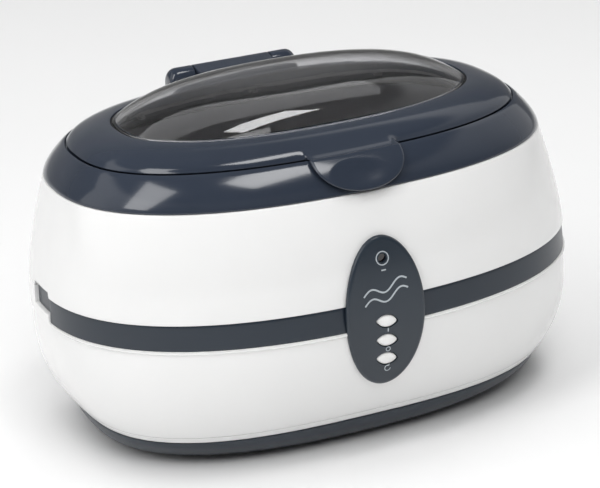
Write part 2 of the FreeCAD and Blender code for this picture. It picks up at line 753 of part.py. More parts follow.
def make_top_deck():
    low = size("deck_height")
    high = size("rim_height")
    wall = size("dark_wall")
    roof = high - 3.2
    outside = skin_solid(low, high, 6)
    inside = [skin(height) for height in steps(low, roof, 5)]
    hollow = oval_solid([(low - 0.5,) + inside[0][1:]] + inside[1:], wall)
    shell = outside.cut(hollow)
    clamp_low = size("tank_rim") + size("gasket_thickness")
    clamp_outer = (0.0, size("tank_half_length") + 5.2, size("tank_half_width") + 5.2, size("tank_exponent"))
    shell = shell.fuse(straight(clamp_low, roof + 0.5, clamp_outer))
    seat = straight(size("seat_height"), high + 1, RIM, size("seat_inset"))
    shell = shell.cut([seat, straight(low - 1, high + 1, mouth_level())])
    body = free_form("deck_body", shell.removeSplitter())
    extras = []
    for tag, x, y in deck_screw_places():
        extras.append(cylinder("deck_boss_" + tag, "2.3", "4.2", (x, y, "tank_rim - sheet_thickness")))
    outer_length = "knuckle_end - knuckle_half - knuckle_gap"
    for tag, start in (("left", "0 - knuckle_end"), ("right", "knuckle_half + knuckle_gap")):
        extras.append(cylinder("deck_knuckle_" + tag, "knuckle_radius", outer_length,
                               (start, "hinge_back", "hinge_height"), ALONG_X))
        middle = "(knuckle_end + knuckle_half + knuckle_gap) / 2"
        sign = -1 if tag == "left" else 1
        extras.append(box("deck_web_" + tag, outer_length, "6.4", "9.2",
                          ("%d * %s" % (sign, middle), "hinge_back + 1.2", "hinge_height - 9.2")))
    solid = join("deck_solid", [body] + extras)
    tools = [cylinder("deck_pin_bore", "pin_radius", "2 * knuckle_end - 4",
                      ("2 - knuckle_end", "hinge_back", "hinge_height"), ALONG_X)]
    for tag, x, y in deck_screw_places():
        tools.append(cylinder("deck_pilot_" + tag, "screw_radius * 0.8 + 0.05", "3.4",
                              (x, y, "tank_rim - 1.2")))
    return node("top_deck", cut("top_deck_solid", solid, tools))


def make_hinge_pin():
    pin = cylinder("pin", "pin_radius", "2 * knuckle_end - 4",
                   ("2 - knuckle_end", "hinge_back", "hinge_height"), ALONG_X)
    return node("hinge_pin", pin)


# ------------------------------------------------------------------ lid


LID = (size("lid_bottom"), size("lid_half_length"), size("lid_half_width"), size("lid_exponent"))
WINDOW = level_of("window")


def lid_levels(inset, low_extra=0.0):
    """Rounded shoulder from the lid's upright edge to the window's edge."""
    levels = []
    for step in range(9):
        share = step / 8.0
        turn = math.pi / 2 * share
        inward = 1 - math.cos(turn) ** 1.25
        rise = math.sin(turn) ** 1.1
        height = LID[0] - low_extra + (WINDOW[0] - LID[0] + low_extra) * rise
        half_length = LID[1] + (WINDOW[1] - LID[1]) * inward - inset
        half_width = LID[2] + (WINDOW[2] - LID[2]) * inward - inset
        levels.append((height, half_length, half_width, LID[3] + (WINDOW[3] - LID[3]) * inward))
    return levels


def make_lid_frame():
    wall = size("dark_wall")
    outside = oval_solid(lid_levels(0.0))
    lowered = [(height - wall - 0.6, a, b, n) for height, a, b, n in lid_levels(wall)]
    lowered[0] = (LID[0] - 0.5,) + lowered[0][1:]
    shell = outside.cut(oval_solid(lowered[:1] + lowered[2:]))
    tongue_low = size("lid_bottom") - size("tongue_depth")
    tongue = straight(tongue_low, size("lid_bottom") + 2.2, mouth_level(), 0.6)
    tongue = tongue.cut(straight(tongue_low - 1, size("lid_bottom") + 3, mouth_level(), 2.2))
    bridge = straight(size("lid_bottom"), size("lid_bottom") + 1.4, LID, 1.0)
    bridge = bridge.cut(straight(size("lid_bottom") - 1, size("lid_bottom") + 3, mouth_level(), 1.0))
    shell = shell.fuse([tongue, bridge])
    opening = straight(size("lid_bottom") + 3, WINDOW[0] + 2, WINDOW, 3.4)
    rabbet = straight(WINDOW[0] - size("rabbet_depth"), WINDOW[0] + 2, WINDOW, 0.0)
    shell = shell.cut([opening, rabbet])
    body = free_form("lid_body", shell.removeSplitter())
    knuckle = cylinder("lid_knuckle", "knuckle_radius", "2 * knuckle_half",
                       ("0 - knuckle_half", "hinge_back", "hinge_height"), ALONG_X)
    arm = box("lid_arm", "2 * knuckle_half", "hinge_back - lid_half_width + 2.6", "5.6",
              (0, "(hinge_back + lid_half_width - 2.6) / 2", "hinge_height - 2.6"))
    tab = make_tab_shape()
    solid = join("lid_solid", [body, knuckle, arm, tab])
    bore = cylinder("lid_bore", "pin_radius + pin_play", "2 * knuckle_half + 2",
                    ("0 - knuckle_half - 1", "hinge_back", "hinge_height"), ALONG_X)
    tools = [bore]
    for tag, x, y in retainer_places():
        tools.append(cylinder("lid_pilot_" + tag, "screw_radius * 0.7 + 0.05", "2.2",
                              (x, y, "retainer_top - 0.1")))
    return node("lid_frame", cut("lid_frame_solid", solid, tools))


def make_tab_shape():
    """Lift tab: a half-round tongue that follows the deck's slope, with a hollow for the thumb."""
    low = size("tab_low")
    top = size("lid_bottom") + 2.4
    clearance = size("tab_clearance")
    thickness = clearance + size("tab_thickness")
    heights = steps(low - 2, size("rim_height"), 6)
    near = [skin(height) for height in heights] + [(top,) + RIM[1:]]
    inner = oval_solid(near, -clearance)
    outer = oval_solid(near, -thickness)
    root = straight(size("rim_height") + 0.4, top, RIM, -1.5)
    shell = outer.cut(inner).fuse(root)
    drop = size("lid_bottom") + 0.6 - low
    half = size("tab_half_width")
    outline = Part.Ellipse(Vector(0, 0, 0), half, drop)
    tongue = Part.Face(Part.Wire(outline.toShape()))
    tongue.rotate(Vector(0, 0, 0), Vector(1, 0, 0), 90)
    tongue.translate(Vector(0, -46, low + drop))
    tongue = tongue.extrude(Vector(0, -40, 0))
    upper = Part.makeBox(2 * half, 40, 3, Vector(-half, -86, low + drop))
    tongue = tongue.fuse(upper)
    solid = shell.common(tongue).common(slab(low - 1, top, -90, -46))
    scoop_z = low + drop / 2
    scoop_y = -skin(scoop_z)[2] - thickness
    away = (size("scoop_radius") - size("scoop_depth")) / math.sqrt(2)
    scoop = Part.makeSphere(size("scoop_radius"), Vector(0, scoop_y - away, scoop_z + away))
    return free_form("lid_tab", solid.cut(scoop))


def dome_levels(inset, drop):
    """Levels of the window's dome, from its upright edge to a small oval at the top."""
    rim = (WINDOW[1] - inset, WINDOW[2] - inset, WINDOW[3])
    levels = [(WINDOW[0] - size("rabbet_depth") - drop,) + rim]
    for step in range(10):
        reach = math.cos(math.pi / 2 * step / 9.3)
        rise = size("window_rise") * (1 - reach ** size("window_bulge"))
        exponent = 2.1 + (rim[2] - 2.1) * reach
        levels.append((WINDOW[0] + rise - drop, rim[0] * reach, rim[1] * reach, exponent))
    return levels


def make_lid_window():
    """Clear dome whose edge stands in the frame's rabbet."""
    play = size("window_play")
    thickness = size("window_thickness")
    outer = oval_solid(dome_levels(play, 0.0))
    inner = oval_solid(dome_levels(play + thickness, thickness))
    return node("lid_window", free_form("window_solid", outer.cut(inner)))


def make_window_gasket():
    play = size("window_play")
    low = WINDOW[0] - size("rabbet_depth")
    ring = straight(low, WINDOW[0] - 0.4, WINDOW, 0.05).cut(straight(low - 1, low + 3, WINDOW, play - 0.05))
    return node("window_gasket", free_form("gasket_ring", ring))


def retainer_places():
    for index in range(6):
        angle = 2 * math.pi * (index + 0.5) / 6
        a = WINDOW[1] + 0.4
        b = WINDOW[2] + 0.4
        n = WINDOW[3]
        reach = (abs(math.cos(angle) / a) ** n + abs(math.sin(angle) / b) ** n) ** (-1.0 / n)
        yield str(index), reach * math.cos(angle), reach * math.sin(angle)


def make_window_retainer():
    """Ring under the frame that clamps the window's seat from below."""
    top = size("retainer_top")
    low = top - size("retainer_thickness")
    ring = straight(low, top, WINDOW, -2.2).cut(straight(low - 1, top + 1, WINDOW, 3.0))
    body = free_form("retainer_ring", ring)
    holes = []
    for tag, x, y in retainer_places():
        holes.append(cylinder("retainer_hole_" + tag, "screw_radius * 0.7 + 0.1", "6", (x, y, low - 2)))
    return node("window_retainer", cut("window_retainer_solid", body, holes))


# ------------------------------------------------------------------ control panel


def make_control_panel():
    bar = panel_prism("panel_bar", "0")
    face = common("panel_face_solid", bar, panel_drum("panel_outer_drum", "0"))
    plate = cut("panel_plate", face, [panel_drum("panel_inner_drum", "panel_thickness")])
    rim_outer = panel_prism("panel_rim_outer", "0 - plug_inset - 0.2")
    rim_inner = panel_prism("panel_rim_inner", "0 - plug_inset - 1.8")
    rim_front = panel_drum("panel_rim_front", "panel_thickness - 0.1")
    rim_block = common("panel_rim_block", rim_outer, rim_front)
    rim_keep = free_form("panel_rim_keep", slab(0, 120, -90, -67.0))
    rim = common("panel_rim", cut("panel_rim_ring", rim_block, [rim_inner]), rim_keep)
    posts = []
    for tag, x, z in panel_posts():
        posts.append(cylinder("panel_post_" + tag, "post_radius", "panel_front - control_front - 1.9",
                              (x, "0 - control_front", z), ALONG_FRONT))
    solid = join("panel_solid", [plate, rim] + posts)
    holes = [cylinder("lamp_hole", "lamp_radius + 0.1", "30", (0, -60, "lamp_height"), ALONG_FRONT)]
    for word in BUTTONS:
        holes.append(lens_bar(word + "_hole", word + "_height", "button_gap", -95, "40"))
    for tag, x, z in panel_posts():
        holes.append(cylinder("panel_pilot_" + tag, "0.95", "7", (x, "0 - control_front", z), ALONG_FRONT))
    return node("control_panel", cut("control_panel_solid", solid, holes))


def panel_posts():
    for tag, x_sign, z in (("ll", -1, "control_post_low"), ("lr", 1, "control_post_low"),
                           ("hl", -1, "control_post_high"), ("hr", 1, "control_post_high")):
        yield tag, "%d * control_post_x" % x_sign, z


def make_buttons():
    """Lens-shaped cap, a flange that stops it behind the panel, and a stem towards its switch."""
    for word in BUTTONS:
        height = word + "_height"
        front = panel_face(height)
        cap_bar = lens_bar(word + "_cap_bar", height, "0", -95, "28")
        crown = cylinder(word + "_crown", "panel_curve - 0.3", "40",
                         (-20, PANEL_AXIS_Y, "panel_height"), ALONG_X)
        cap = common(word + "_cap", cap_bar, crown)
        flange_front = front + " - panel_thickness - 0.75"
        flange = lens_bar(word + "_flange", height, "0.9", "0 - (%s)" % flange_front, "1.0")
        stem = cylinder(word + "_stem", "1.5", "3.2",
                        (0, "0 - switch_front - button_travel - 0.3 - 3.2", height),
                        ALONG_BACK)
        body = join(word + "_body", [cap, flange, stem])
        node(word + "_button", body)


def make_lamp():
    tip = "%s - 0.9" % panel_face("lamp_height")
    dome = cylinder("lamp_barrel", "lamp_radius", "%s - control_front - 0.05" % tip,
                    (0, "0 - control_front - 0.05", "lamp_height"), ALONG_FRONT)
    collar = cylinder("lamp_collar", "lamp_radius + 0.35", "1.0",
                      (0, "0 - control_front - 0.05", "lamp_height"),
                      ALONG_FRONT)
    return node("power_lamp", join("lamp_body", [dome, collar]))


def make_control_board():
    board = box("control_blank", "control_width", "board_thickness", "control_tall",
                (0, "0 - control_front + board_thickness / 2", "control_low"))
    holes = []
    for tag, x, z in panel_posts():
        holes.append(cylinder("control_hole_" + tag, "1.3", "6", (x, "3 - control_front", z), ALONG_FRONT))
    node("control_board", cut("control_board_solid", board, holes))
    switches = []
    for word in BUTTONS:
        switches.append(box(word + "_switch", "6", "switch_front - control_front", "5.2",
                            (0, "0 - (switch_front + control_front) / 2", word + "_height - 2.6")))
    node("tact_switches", group("switch_group", switches))
    screws = []
    for tag, x, z in panel_posts():
        back = "board_thickness - control_front + 0.02"
        head = cylinder("control_head_" + tag, "1.9", "1.2", (x, back, z), ALONG_BACK)
        shank = cylinder("control_shank_" + tag, "0.9", "6", (x, back, z), ALONG_FRONT)
        screws.append(join("control_screw_" + tag, [head, shank]))
    node("control_screws", group("control_screw_group", screws))


# ------------------------------------------------------------------ driver board


BOARD_TOP = "driver_bottom + board_thickness + 0.02"


def make_driver_board():
    """Plain board drawn as a sketch and padded, with its fixing holes pocketed through."""
    body = doc.addObject("PartDesign::Body", "driver_board_body")
    half_length = size("driver_length") / 2
    half_width = size("driver_width") / 2
    plan = body.newObject("Sketcher::SketchObject", "driver_outline")
    plan.AttachmentSupport = [(origin_plane(body, "XY_Plane"), "")]
    plan.MapMode = "FlatFace"
    spots = [(-half_length, -half_width), (half_length, -half_width), (half_length, half_width),
             (-half_length, half_width)]
    rectangle(plan, spots, "driver_length", "driver_width")
    pad = body.newObject("PartDesign::Pad", "driver_pad")
    pad.Profile = plan
    pad.setExpression("Length", on_sheet("board_thickness"))
    doc.recompute()
    solid_volume = pad.Shape.Volume
    holes = body.newObject("Sketcher::SketchObject", "driver_holes")
    holes.AttachmentSupport = [(origin_plane(body, "XY_Plane"), "")]
    holes.MapMode = "FlatFace"
    for index, (tag, x, y) in enumerate(corners("driver_hole_x", "driver_hole_y")):
        x_sign = -1 if x.startswith("-") else 1
        y_sign = -1 if y.startswith("-") else 1
        centre = Vector(x_sign * size("driver_hole_x"), y_sign * size("driver_hole_y"), 0)
        holes.addGeometry(Part.Circle(centre, Vector(0, 0, 1), 1.3))
        holes.addConstraint(Sketcher.Constraint("Radius", index, 1.3))
    pocket = body.newObject("PartDesign::Pocket", "driver_pocket")
    pocket.Profile = holes
    pocket.Type = "ThroughAll"
    pocket.Reversed = True
    doc.recompute()
    if pocket.Shape.Volume > solid_volume - 1:
        raise RuntimeError("the driver board's holes cut nothing")
    place(body, (0, 0, "driver_bottom"))
    return node("driver_board", body)


def origin_plane(body, role):
    for item in body.Origin.OriginFeatures:
        if item.Role == role:
            return item
    raise RuntimeError("no plane " + role)


def rectangle(plan, spots, width_rule, height_rule):
    """Closed rectangle, centred on the sketch's origin, with its sides bound to the sheet."""
    for start, end in zip(spots, spots[1:] + spots[:1]):
        plan.addGeometry(Part.LineSegment(Vector(*start, 0), Vector(*end, 0)))
    for line in range(4):
        plan.addConstraint(Sketcher.Constraint("Coincident", line, 2, (line + 1) % 4, 1))
    for line in (0, 2):
        plan.addConstraint(Sketcher.Constraint("Horizontal", line))
    for line in (1, 3):
        plan.addConstraint(Sketcher.Constraint("Vertical", line))
    plan.addConstraint(Sketcher.Constraint("Symmetric", 0, 1, 1, 2, -1, 1))
    for line, rule in ((0, width_rule), (1, height_rule)):
        number = plan.addConstraint(Sketcher.Constraint("Distance", line, 10.0))
        plan.setExpression("Constraints[%d]" % number, on_sheet(rule))


def make_driver_parts():
    top = BOARD_TOP
    core = box("core", "24", "20", "18", (-30, 4, top))
    winding = box("winding", "16", "26", "11", (-30, 4, top + " + 3.5"))
    node("transformer", join("transformer_body", [core, winding]))
    ring = torus("choke_ring", "6.5", "3.4", (0, -15, top + " + 3.45"))
    node("choke", ring)
    cans = [
        cylinder("can_main", "8", "20", (-4, 12, top)),
        cylinder("can_left", "4", "12", (-16, -19, top)),
        cylinder("can_right", "3", "9", (14, 20, top)),
    ]
    node("capacitors", group("capacitor_group", cans))
    plate = box("sink_plate", "30", "3", "20", (27, 6, top))
    fins = [box("sink_fin_%d" % step, "1.6", "9", "20", (14.2 + 6.4 * step, 11.4, top)) for step in range(5)]
    node("heat_sink", join("heat_sink_body", [plate] + fins))
    tab = box("transistor_tab", "10", "1.3", "15.5", (27, 3.8, top + " + 3"))
    chip = box("transistor_chip", "10", "3.4", "9", (27, 1.5, top + " + 3"))
    legs = [box("leg_%d" % step, "0.8", "0.6", "3.2", (24.5 + 2.5 * step, 1.6, top)) for step in range(3)]
    node("transistor", join("transistor_body", [tab, chip] + legs))
    tube = cylinder("fuse_tube", "2.6", "20", (20, -20, top + " + 4.2"), ALONG_X)
    clips = [box("fuse_clip_%d" % step, "4", "5.6", "6.4", (23 + 14 * step, -20, top)) for step in range(2)]
    node("fuse", join("fuse_body", [tube] + clips))


# ------------------------------------------------------------------ mains inlet and inner leads


def make_mains_inlet():
    height = "inlet_height"
    flange = box("inlet_flange", "inlet_flange_width", "inlet_flange_depth", "inlet_flange_height",
                 (0, "inlet_back + inlet_flange_depth / 2 + 0.02", height + " - inlet_flange_height / 2"))
    body = box("inlet_body", "inlet_body_width", "inlet_body_depth", "inlet_body_height",
               (0, "inlet_back - inlet_body_depth / 2 + 0.1", height + " - inlet_body_height / 2"))
    solid = join("inlet_solid", [flange, body])
    mouth = "inlet_back + inlet_flange_depth + 1 - (socket_depth + 1)"
    tools = [box("socket_middle", "blade_spacing - 1", "socket_depth + 1", "2 * socket_radius",
                 (0, "inlet_back + inlet_flange_depth + 1 - (socket_depth + 1) / 2", height + " - socket_radius"))]
    for tag, sign in (("left", -1), ("right", 1)):
        x = "%d * (blade_spacing - 1) / 2" % sign
        tools.append(cylinder("socket_" + tag, "socket_radius", "socket_depth + 1",
                              (x, mouth, height), ALONG_BACK))
        blade_x = "%d * blade_spacing / 2" % sign
        tools.append(cylinder("blade_seat_" + tag, "blade_radius", "20",
                              (blade_x, "inlet_back - inlet_body_depth - 1", height), ALONG_BACK))
    node("mains_inlet", cut("mains_inlet_solid", solid, tools))
    pins = []
    for tag, sign in (("left", -1), ("right", 1)):
        blade_x = "%d * blade_spacing / 2" % sign
        start = "inlet_back - inlet_body_depth - 3"
        length = "inlet_flange_depth + 3 + inlet_body_depth - socket_depth + blade_reach"
        pins.append(cylinder("blade_" + tag, "blade_radius", length, (blade_x, start, height), ALONG_BACK))
    node("inlet_pins", group("inlet_pin_group", pins))


def lead(points, radius):
    """Round lead through a few points, with an arc at each bend."""
    edges = []
    start = points[0]
    for before, corner, after in zip(points, points[1:], points[2:]):
        into = (corner - before).normalize()
        out = (after - corner).normalize()
        half_turn = into.getAngle(out) / 2
        shorter = min((corner - before).Length, (after - corner).Length)
        setback = 0.45 * shorter
        bend_radius = setback / math.tan(half_turn)
        near = corner - into * setback
        far = corner + out * setback
        to_middle = (out - into).normalize()
        middle = corner + to_middle * (bend_radius / math.cos(half_turn) - bend_radius)
        edges.append(Part.LineSegment(start, near).toShape())
        edges.append(Part.Arc(near, middle, far).toShape())
        start = far
    edges.append(Part.LineSegment(start, points[-1]).toShape())
    path = Part.Wire(edges)
    circle = Part.makeCircle(radius, points[0], points[1] - points[0])
    tube = path.makePipeShell([Part.Wire(circle)], True, True)
    return tube


def make_leads():
    board = size("driver_bottom") + size("board_thickness") + 0.25
    inlet_end = size("inlet_back") - size("inlet_body_depth") - 3.3
    height = size("inlet_height")
    mains = []
    for sign in (-1, 1):
        x = sign * size("blade_spacing") / 2
        points = [Vector(x, inlet_end, height), Vector(x * 1.6, inlet_end - 8, height - 1.5),
                  Vector(x * 2.4 + 1, inlet_end - 16, height - 6), Vector(x * 2.2 + 2, 25.5, board + 2.5),
                  Vector(x * 2.2 + 2, 25.0, board)]
        mains.append(lead(points, 0.9))
    node("mains_leads", free_form("mains_lead_pair", Part.makeCompound(mains)))
    plate_low = size("tank_floor") - size("sheet_thickness") - size("plate_thickness")
    disc_low = plate_low - size("disc_thickness")
    drive = []
    for sign in (-1, 1):
        points = [Vector(10 + sign * 2.4, -4, disc_low - 0.05), Vector(10 + sign * 2.2, -4.5, disc_low - 4),
                  Vector(12 + sign * 2, -6, disc_low - 12), Vector(14 + sign * 2, -7, board)]
        drive.append(lead(points, 0.7))
    node("transducer_leads", free_form("transducer_lead_pair", Part.makeCompound(drive)))
    ribbon = []
    back = -size("control_front") + size("board_thickness") + 0.15
    for index in range(4):
        x = -3 + 2.0 * index
        points = [Vector(x, back, 37.5), Vector(x, back + 3.5, 36.5), Vector(x, back + 12, 31),
                  Vector(x, -40, 26), Vector(x, -30, 21), Vector(x, -26, board)]
        ribbon.append(lead(points, 0.6))
    node("control_leads", free_form("control_lead_set", Part.makeCompound(ribbon)))


# ------------------------------------------------------------------ build, check and export


def build_all():
    make_base_tray()
    make_rubber_feet()
    make_screws("base_screws", list(corners("base_screw_x", "base_screw_y")), "base_screw_seat", "15")
    make_lower_housing()
    make_upper_housing()
    make_trim_band()
    make_screws("case_screws", list(corners("case_screw_x", "case_screw_y")), "44", "26")
    make_tank()
    make_tank_gasket()
    make_transducer()
    make_top_deck()
    make_screws("deck_screws", list(deck_screw_places()), "tank_rim - sheet_thickness - 2.2",
                "5", scale=0.8)
    make_hinge_pin()
    make_lid_frame()
    make_lid_window()
    make_window_gasket()
    make_window_retainer()
    make_screws("retainer_screws", list(retainer_places()), "retainer_top - retainer_thickness",
                "3", scale=0.7)
    make_control_panel()
    make_buttons()
    make_lamp()
    make_control_board()
    make_driver_board()
    make_driver_parts()
    board_places = list(corners("driver_hole_x", "driver_hole_y"))
    make_screws("board_screws", board_places, BOARD_TOP, "6", from_above=True, scale=0.7)
    make_mains_inlet()
    make_leads()


def check_all():
    doc.recompute()
    for item in doc.Objects:
        if "Invalid" in item.State or "Error" in item.State:
            raise RuntimeError("%s failed: %s" % (item.Name, item.State))
    for item in NODES:
        if item.Shape.isNull() or not item.Shape.isValid():
            raise RuntimeError("%s has no valid shape" % item.Label)


def export_all():
    os.makedirs("parts", exist_ok=True)
    for item in NODES:
        item.Shape.exportStep("parts/%s.step" % item.Label)


build_all()
check_all()
export_all()
print("exported", len(NODES), "sub-parts")
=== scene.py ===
"""Ultrasonic cleaner: the visual model, its materials, floor, light and camera.

Lengths in this file are millimetres; MM turns them into metres as each mesh or object is made.
"""
import math

import bpy
from mathutils import Matrix, Vector
from mathutils.geometry import delaunay_2d_cdt


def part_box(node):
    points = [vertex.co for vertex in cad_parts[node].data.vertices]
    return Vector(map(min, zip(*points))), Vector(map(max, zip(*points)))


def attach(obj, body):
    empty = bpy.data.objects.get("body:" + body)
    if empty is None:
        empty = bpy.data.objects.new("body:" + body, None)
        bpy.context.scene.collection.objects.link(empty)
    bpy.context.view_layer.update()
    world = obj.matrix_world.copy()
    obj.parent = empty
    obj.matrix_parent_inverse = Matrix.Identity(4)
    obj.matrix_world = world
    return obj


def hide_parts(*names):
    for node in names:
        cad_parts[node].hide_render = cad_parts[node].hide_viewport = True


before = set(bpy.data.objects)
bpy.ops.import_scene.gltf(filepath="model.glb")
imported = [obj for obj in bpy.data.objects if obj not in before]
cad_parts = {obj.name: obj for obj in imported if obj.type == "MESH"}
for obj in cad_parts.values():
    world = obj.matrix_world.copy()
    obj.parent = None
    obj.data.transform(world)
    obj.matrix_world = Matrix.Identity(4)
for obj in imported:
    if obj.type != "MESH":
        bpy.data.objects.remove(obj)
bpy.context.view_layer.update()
MM = 0.001


# ------------------------------------------------------------------ measures from the frame


def lowest(node):
    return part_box(node)[0] / MM


def highest(node):
    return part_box(node)[1] / MM


def level(height, half_length, half_width, exponent):
    """One oval of the body: height, half length, half width and squareness."""
    return (height, half_length, half_width, exponent)


TRAY_LOW = lowest("base_tray").z
WIDE = highest("lower_housing")
FLOOR = level(TRAY_LOW, 82.2, 49.2, 2.4)
BASE = level(lowest("lower_housing").z, highest("base_tray").x, 57.3, 2.77)
LIP = level(51.9, WIDE.x, 73.0, 2.36)
SEAM = level(61.3, highest("upper_housing").x, 71.7, 2.38)
DECK = level(98.8, highest("top_deck").x, 62.2, 2.38)
RIM = level(110.2, 86.0, 52.2, 2.46)
LID = level(109.5, 84.9, 51.1, 2.47)
WINDOW = level(117.1, 68.7, 36.1, 2.44)
LIP_STEP = 0.8
LIP_DEPTH = 1.6
SEAM_GAP = 0.12
WALL = 2.4
NOTCH_FRONT = -6.6
NOTCH_BACK = 9.0
NOTCH_LOW = 54.8
NOTCH_HIGH = 63.3
BAND_INSET = 0.5
TAIL_INSET = 1.5
BAND_THICKNESS = 1.3


def between(low, high, height, length_bend=1.0, width_bend=1.0):
    share = max(0.0, (height - low[0]) / (high[0] - low[0]))
    return (
        height,
        low[1] + (high[1] - low[1]) * share ** length_bend,
        low[2] + (high[2] - low[2]) * share ** width_bend,
        low[3] + (high[3] - low[3]) * share,
    )


def skin(height):
    """Outer skin of the closed body at a height."""
    if height <= BASE[0]:
        return between(BASE, FLOOR, height, 2.2, 2.2)
    if height <= LIP[0] - LIP_DEPTH:
        shoulder = (LIP[0], LIP[1] - LIP_STEP, LIP[2] - LIP_STEP, LIP[3])
        return between(shoulder, BASE, height, 3.0, 2.0)
    if height <= SEAM[0]:
        return between(LIP, SEAM, height)
    if height <= DECK[0]:
        return between(SEAM, DECK, height, 1.25, 1.9)
    return between(DECK, RIM, height, 1.45, 1.45)


def on_oval(shape, angle, inset=0.0):
    """Point of an oval in a direction seen from its middle."""
    height, half_length, half_width, exponent = shape
    a = half_length - inset
    b = half_width - inset
    along = abs(math.cos(angle) / a) ** exponent
    across = abs(math.sin(angle) / b) ** exponent
    reach = (along + across) ** (-1.0 / exponent)
    return Vector((reach * math.cos(angle), reach * math.sin(angle), height))


def spread(low, high, count):
    return [low + (high - low) * index / (count - 1) for index in range(count)]


def smooth_step(low, high, value):
    share = min(1.0, max(0.0, (value - low) / (high - low)))
    return share * share * (3 - 2 * share)


# ------------------------------------------------------------------ mesh helpers


def to_piece(name, points, faces, material, body="base", sharp=35.0):
    """Make an object from millimetre points, shade it smooth and let it ride on a body."""
    mesh = bpy.data.meshes.new(name)
    mesh.from_pydata([point * MM for point in points], [], faces)
    mesh.validate()
    mesh.materials.append(material)
    mesh.shade_smooth()
    mesh.set_sharp_from_angle(angle=math.radians(sharp))
    piece = bpy.data.objects.new(name, mesh)
    bpy.context.scene.collection.objects.link(piece)
    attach(piece, body)
    return piece


def grid_faces(row_count, column_count, rows_close, columns_close, start=0):
    """Quads of a grid stored row by row."""
    faces = []
    row_steps = row_count if rows_close else row_count - 1
    column_steps = column_count if columns_close else column_count - 1
    for row in range(row_steps):
        for column in range(column_steps):
            near = (column + 1) % column_count
            above = (row + 1) % row_count
            faces.append((
                start + row * column_count + column,
                start + row * column_count + near,
                start + above * column_count + near,
                start + above * column_count + column,
            ))
    return faces


def add_part(points, faces, more_points, more_faces):
    """Add another part's points and faces to a piece's."""
    start = len(points)
    points += more_points
    faces += [tuple(start + index for index in face) for face in more_faces]


def ring_piece(name, rows, material, body="base", leave_out=None):
    """Closed ring from rows of points that each go all the way round."""
    points = [point for row in rows for point in row]
    faces = grid_faces(len(rows), len(rows[0]), True, True)
    if leave_out:
        faces = [face for face in faces if not all(leave_out(points[index]) for index in face)]
    return to_piece(name, points, faces, material, body)


def behind_panel(point):
    """Whether a point of the white shells lies in the opening behind the control panel."""
    reach = math.hypot(point.x / (PANEL_HALF - 0.6), (point.z - PANEL_Z) / (PANEL_TALL - 0.6))
    return point.y < 0 and reach < 1.0


def strip_points(columns):
    """Closed bar along its columns, each a closed profile, with flat ends."""
    count = len(columns[0])
    points = [point for column in columns for point in column]
    faces = grid_faces(len(columns), count, False, True)
    last = (len(columns) - 1) * count
    faces.append(tuple(range(count))[::-1])
    faces.append(tuple(last + index for index in range(count)))
    return points, faces


def around(count=256):
    return [2 * math.pi * index / count for index in range(count)]


def notch_angles():
    """Directions round the body, closer together at the corners of the end notches."""
    angles = set(round(angle, 6) for angle in around(288))
    for side in (0.0, math.pi):
        for edge in (NOTCH_FRONT, NOTCH_BACK):
            turn = math.atan2(edge, LIP[1])
            middle = turn if side == 0.0 else math.pi - turn
            for step in range(-14, 15):
                angles.add(round((middle + math.radians(0.09 * step)) % (2 * math.pi), 6))
    return sorted(angles)


def from_profile(angles, profile):
    """Rows from a profile: a list of functions of the angle that give points."""
    return [[point_at(angle) for angle in angles] for point_at in profile]


def skin_row(height, inset=0.0):
    shape = skin(height)
    return lambda angle: on_oval(shape, angle, inset)


def level_row(shape, inset=0.0, height=None):
    placed = shape if height is None else (height,) + shape[1:]
    return lambda angle: on_oval(placed, angle, inset)


# ------------------------------------------------------------------ materials


def new_material(name):
    material = bpy.data.materials.new(name)
    material.use_nodes = True
    return material, material.node_tree.nodes, material.node_tree.links


def noise(nodes, links, scale, detail=4.0, roughness=0.5, distortion=0.0):
    coordinates = nodes.new("ShaderNodeTexCoord")
    texture = nodes.new("ShaderNodeTexNoise")
    texture.inputs["Scale"].default_value = scale
    texture.inputs["Detail"].default_value = detail
    texture.inputs["Roughness"].default_value = roughness
    texture.inputs["Distortion"].default_value = distortion
    links.new(coordinates.outputs["Object"], texture.inputs["Vector"])
    return texture


def ramp(nodes, links, source, low_at, low, high_at, high):
    item = nodes.new("ShaderNodeValToRGB")
    item.color_ramp.elements[0].position = low_at
    item.color_ramp.elements[0].color = low
    item.color_ramp.elements[1].position = high_at
    item.color_ramp.elements[1].color = high
    links.new(source, item.inputs["Fac"])
    return item.outputs["Color"]


def grey(value):
    return (value, value, value, 1.0)


def moulded(name, colour, variation, gloss, grain_scale, grain_depth, coat=0.0):
    """Moulded plastic: faint colour mottling, uneven gloss and a fine surface grain."""
    material, nodes, links = new_material(name)
    shader = nodes["Principled BSDF"]
    broad = noise(nodes, links, 26.0, 3.0)
    fine = noise(nodes, links, grain_scale, 6.0, 0.6)
    dark = tuple(channel * (1 - variation) for channel in colour) + (1.0,)
    light = tuple(min(1.0, channel * (1 + variation)) for channel in colour) + (1.0,)
    links.new(ramp(nodes, links, broad.outputs["Fac"], 0.3, dark, 0.7, light), shader.inputs["Base Color"])
    rough = ramp(nodes, links, fine.outputs["Fac"], 0.25, grey(gloss * 0.93), 0.75, grey(gloss * 1.08))
    links.new(rough, shader.inputs["Roughness"])
    bump = nodes.new("ShaderNodeBump")
    bump.inputs["Strength"].default_value = 0.35
    bump.inputs["Distance"].default_value = grain_depth * MM
    links.new(fine.outputs["Fac"], bump.inputs["Height"])
    links.new(bump.outputs["Normal"], shader.inputs["Normal"])
    shader.inputs["Coat Weight"].default_value = coat
    shader.inputs["Coat Roughness"].default_value = 0.04
    return material


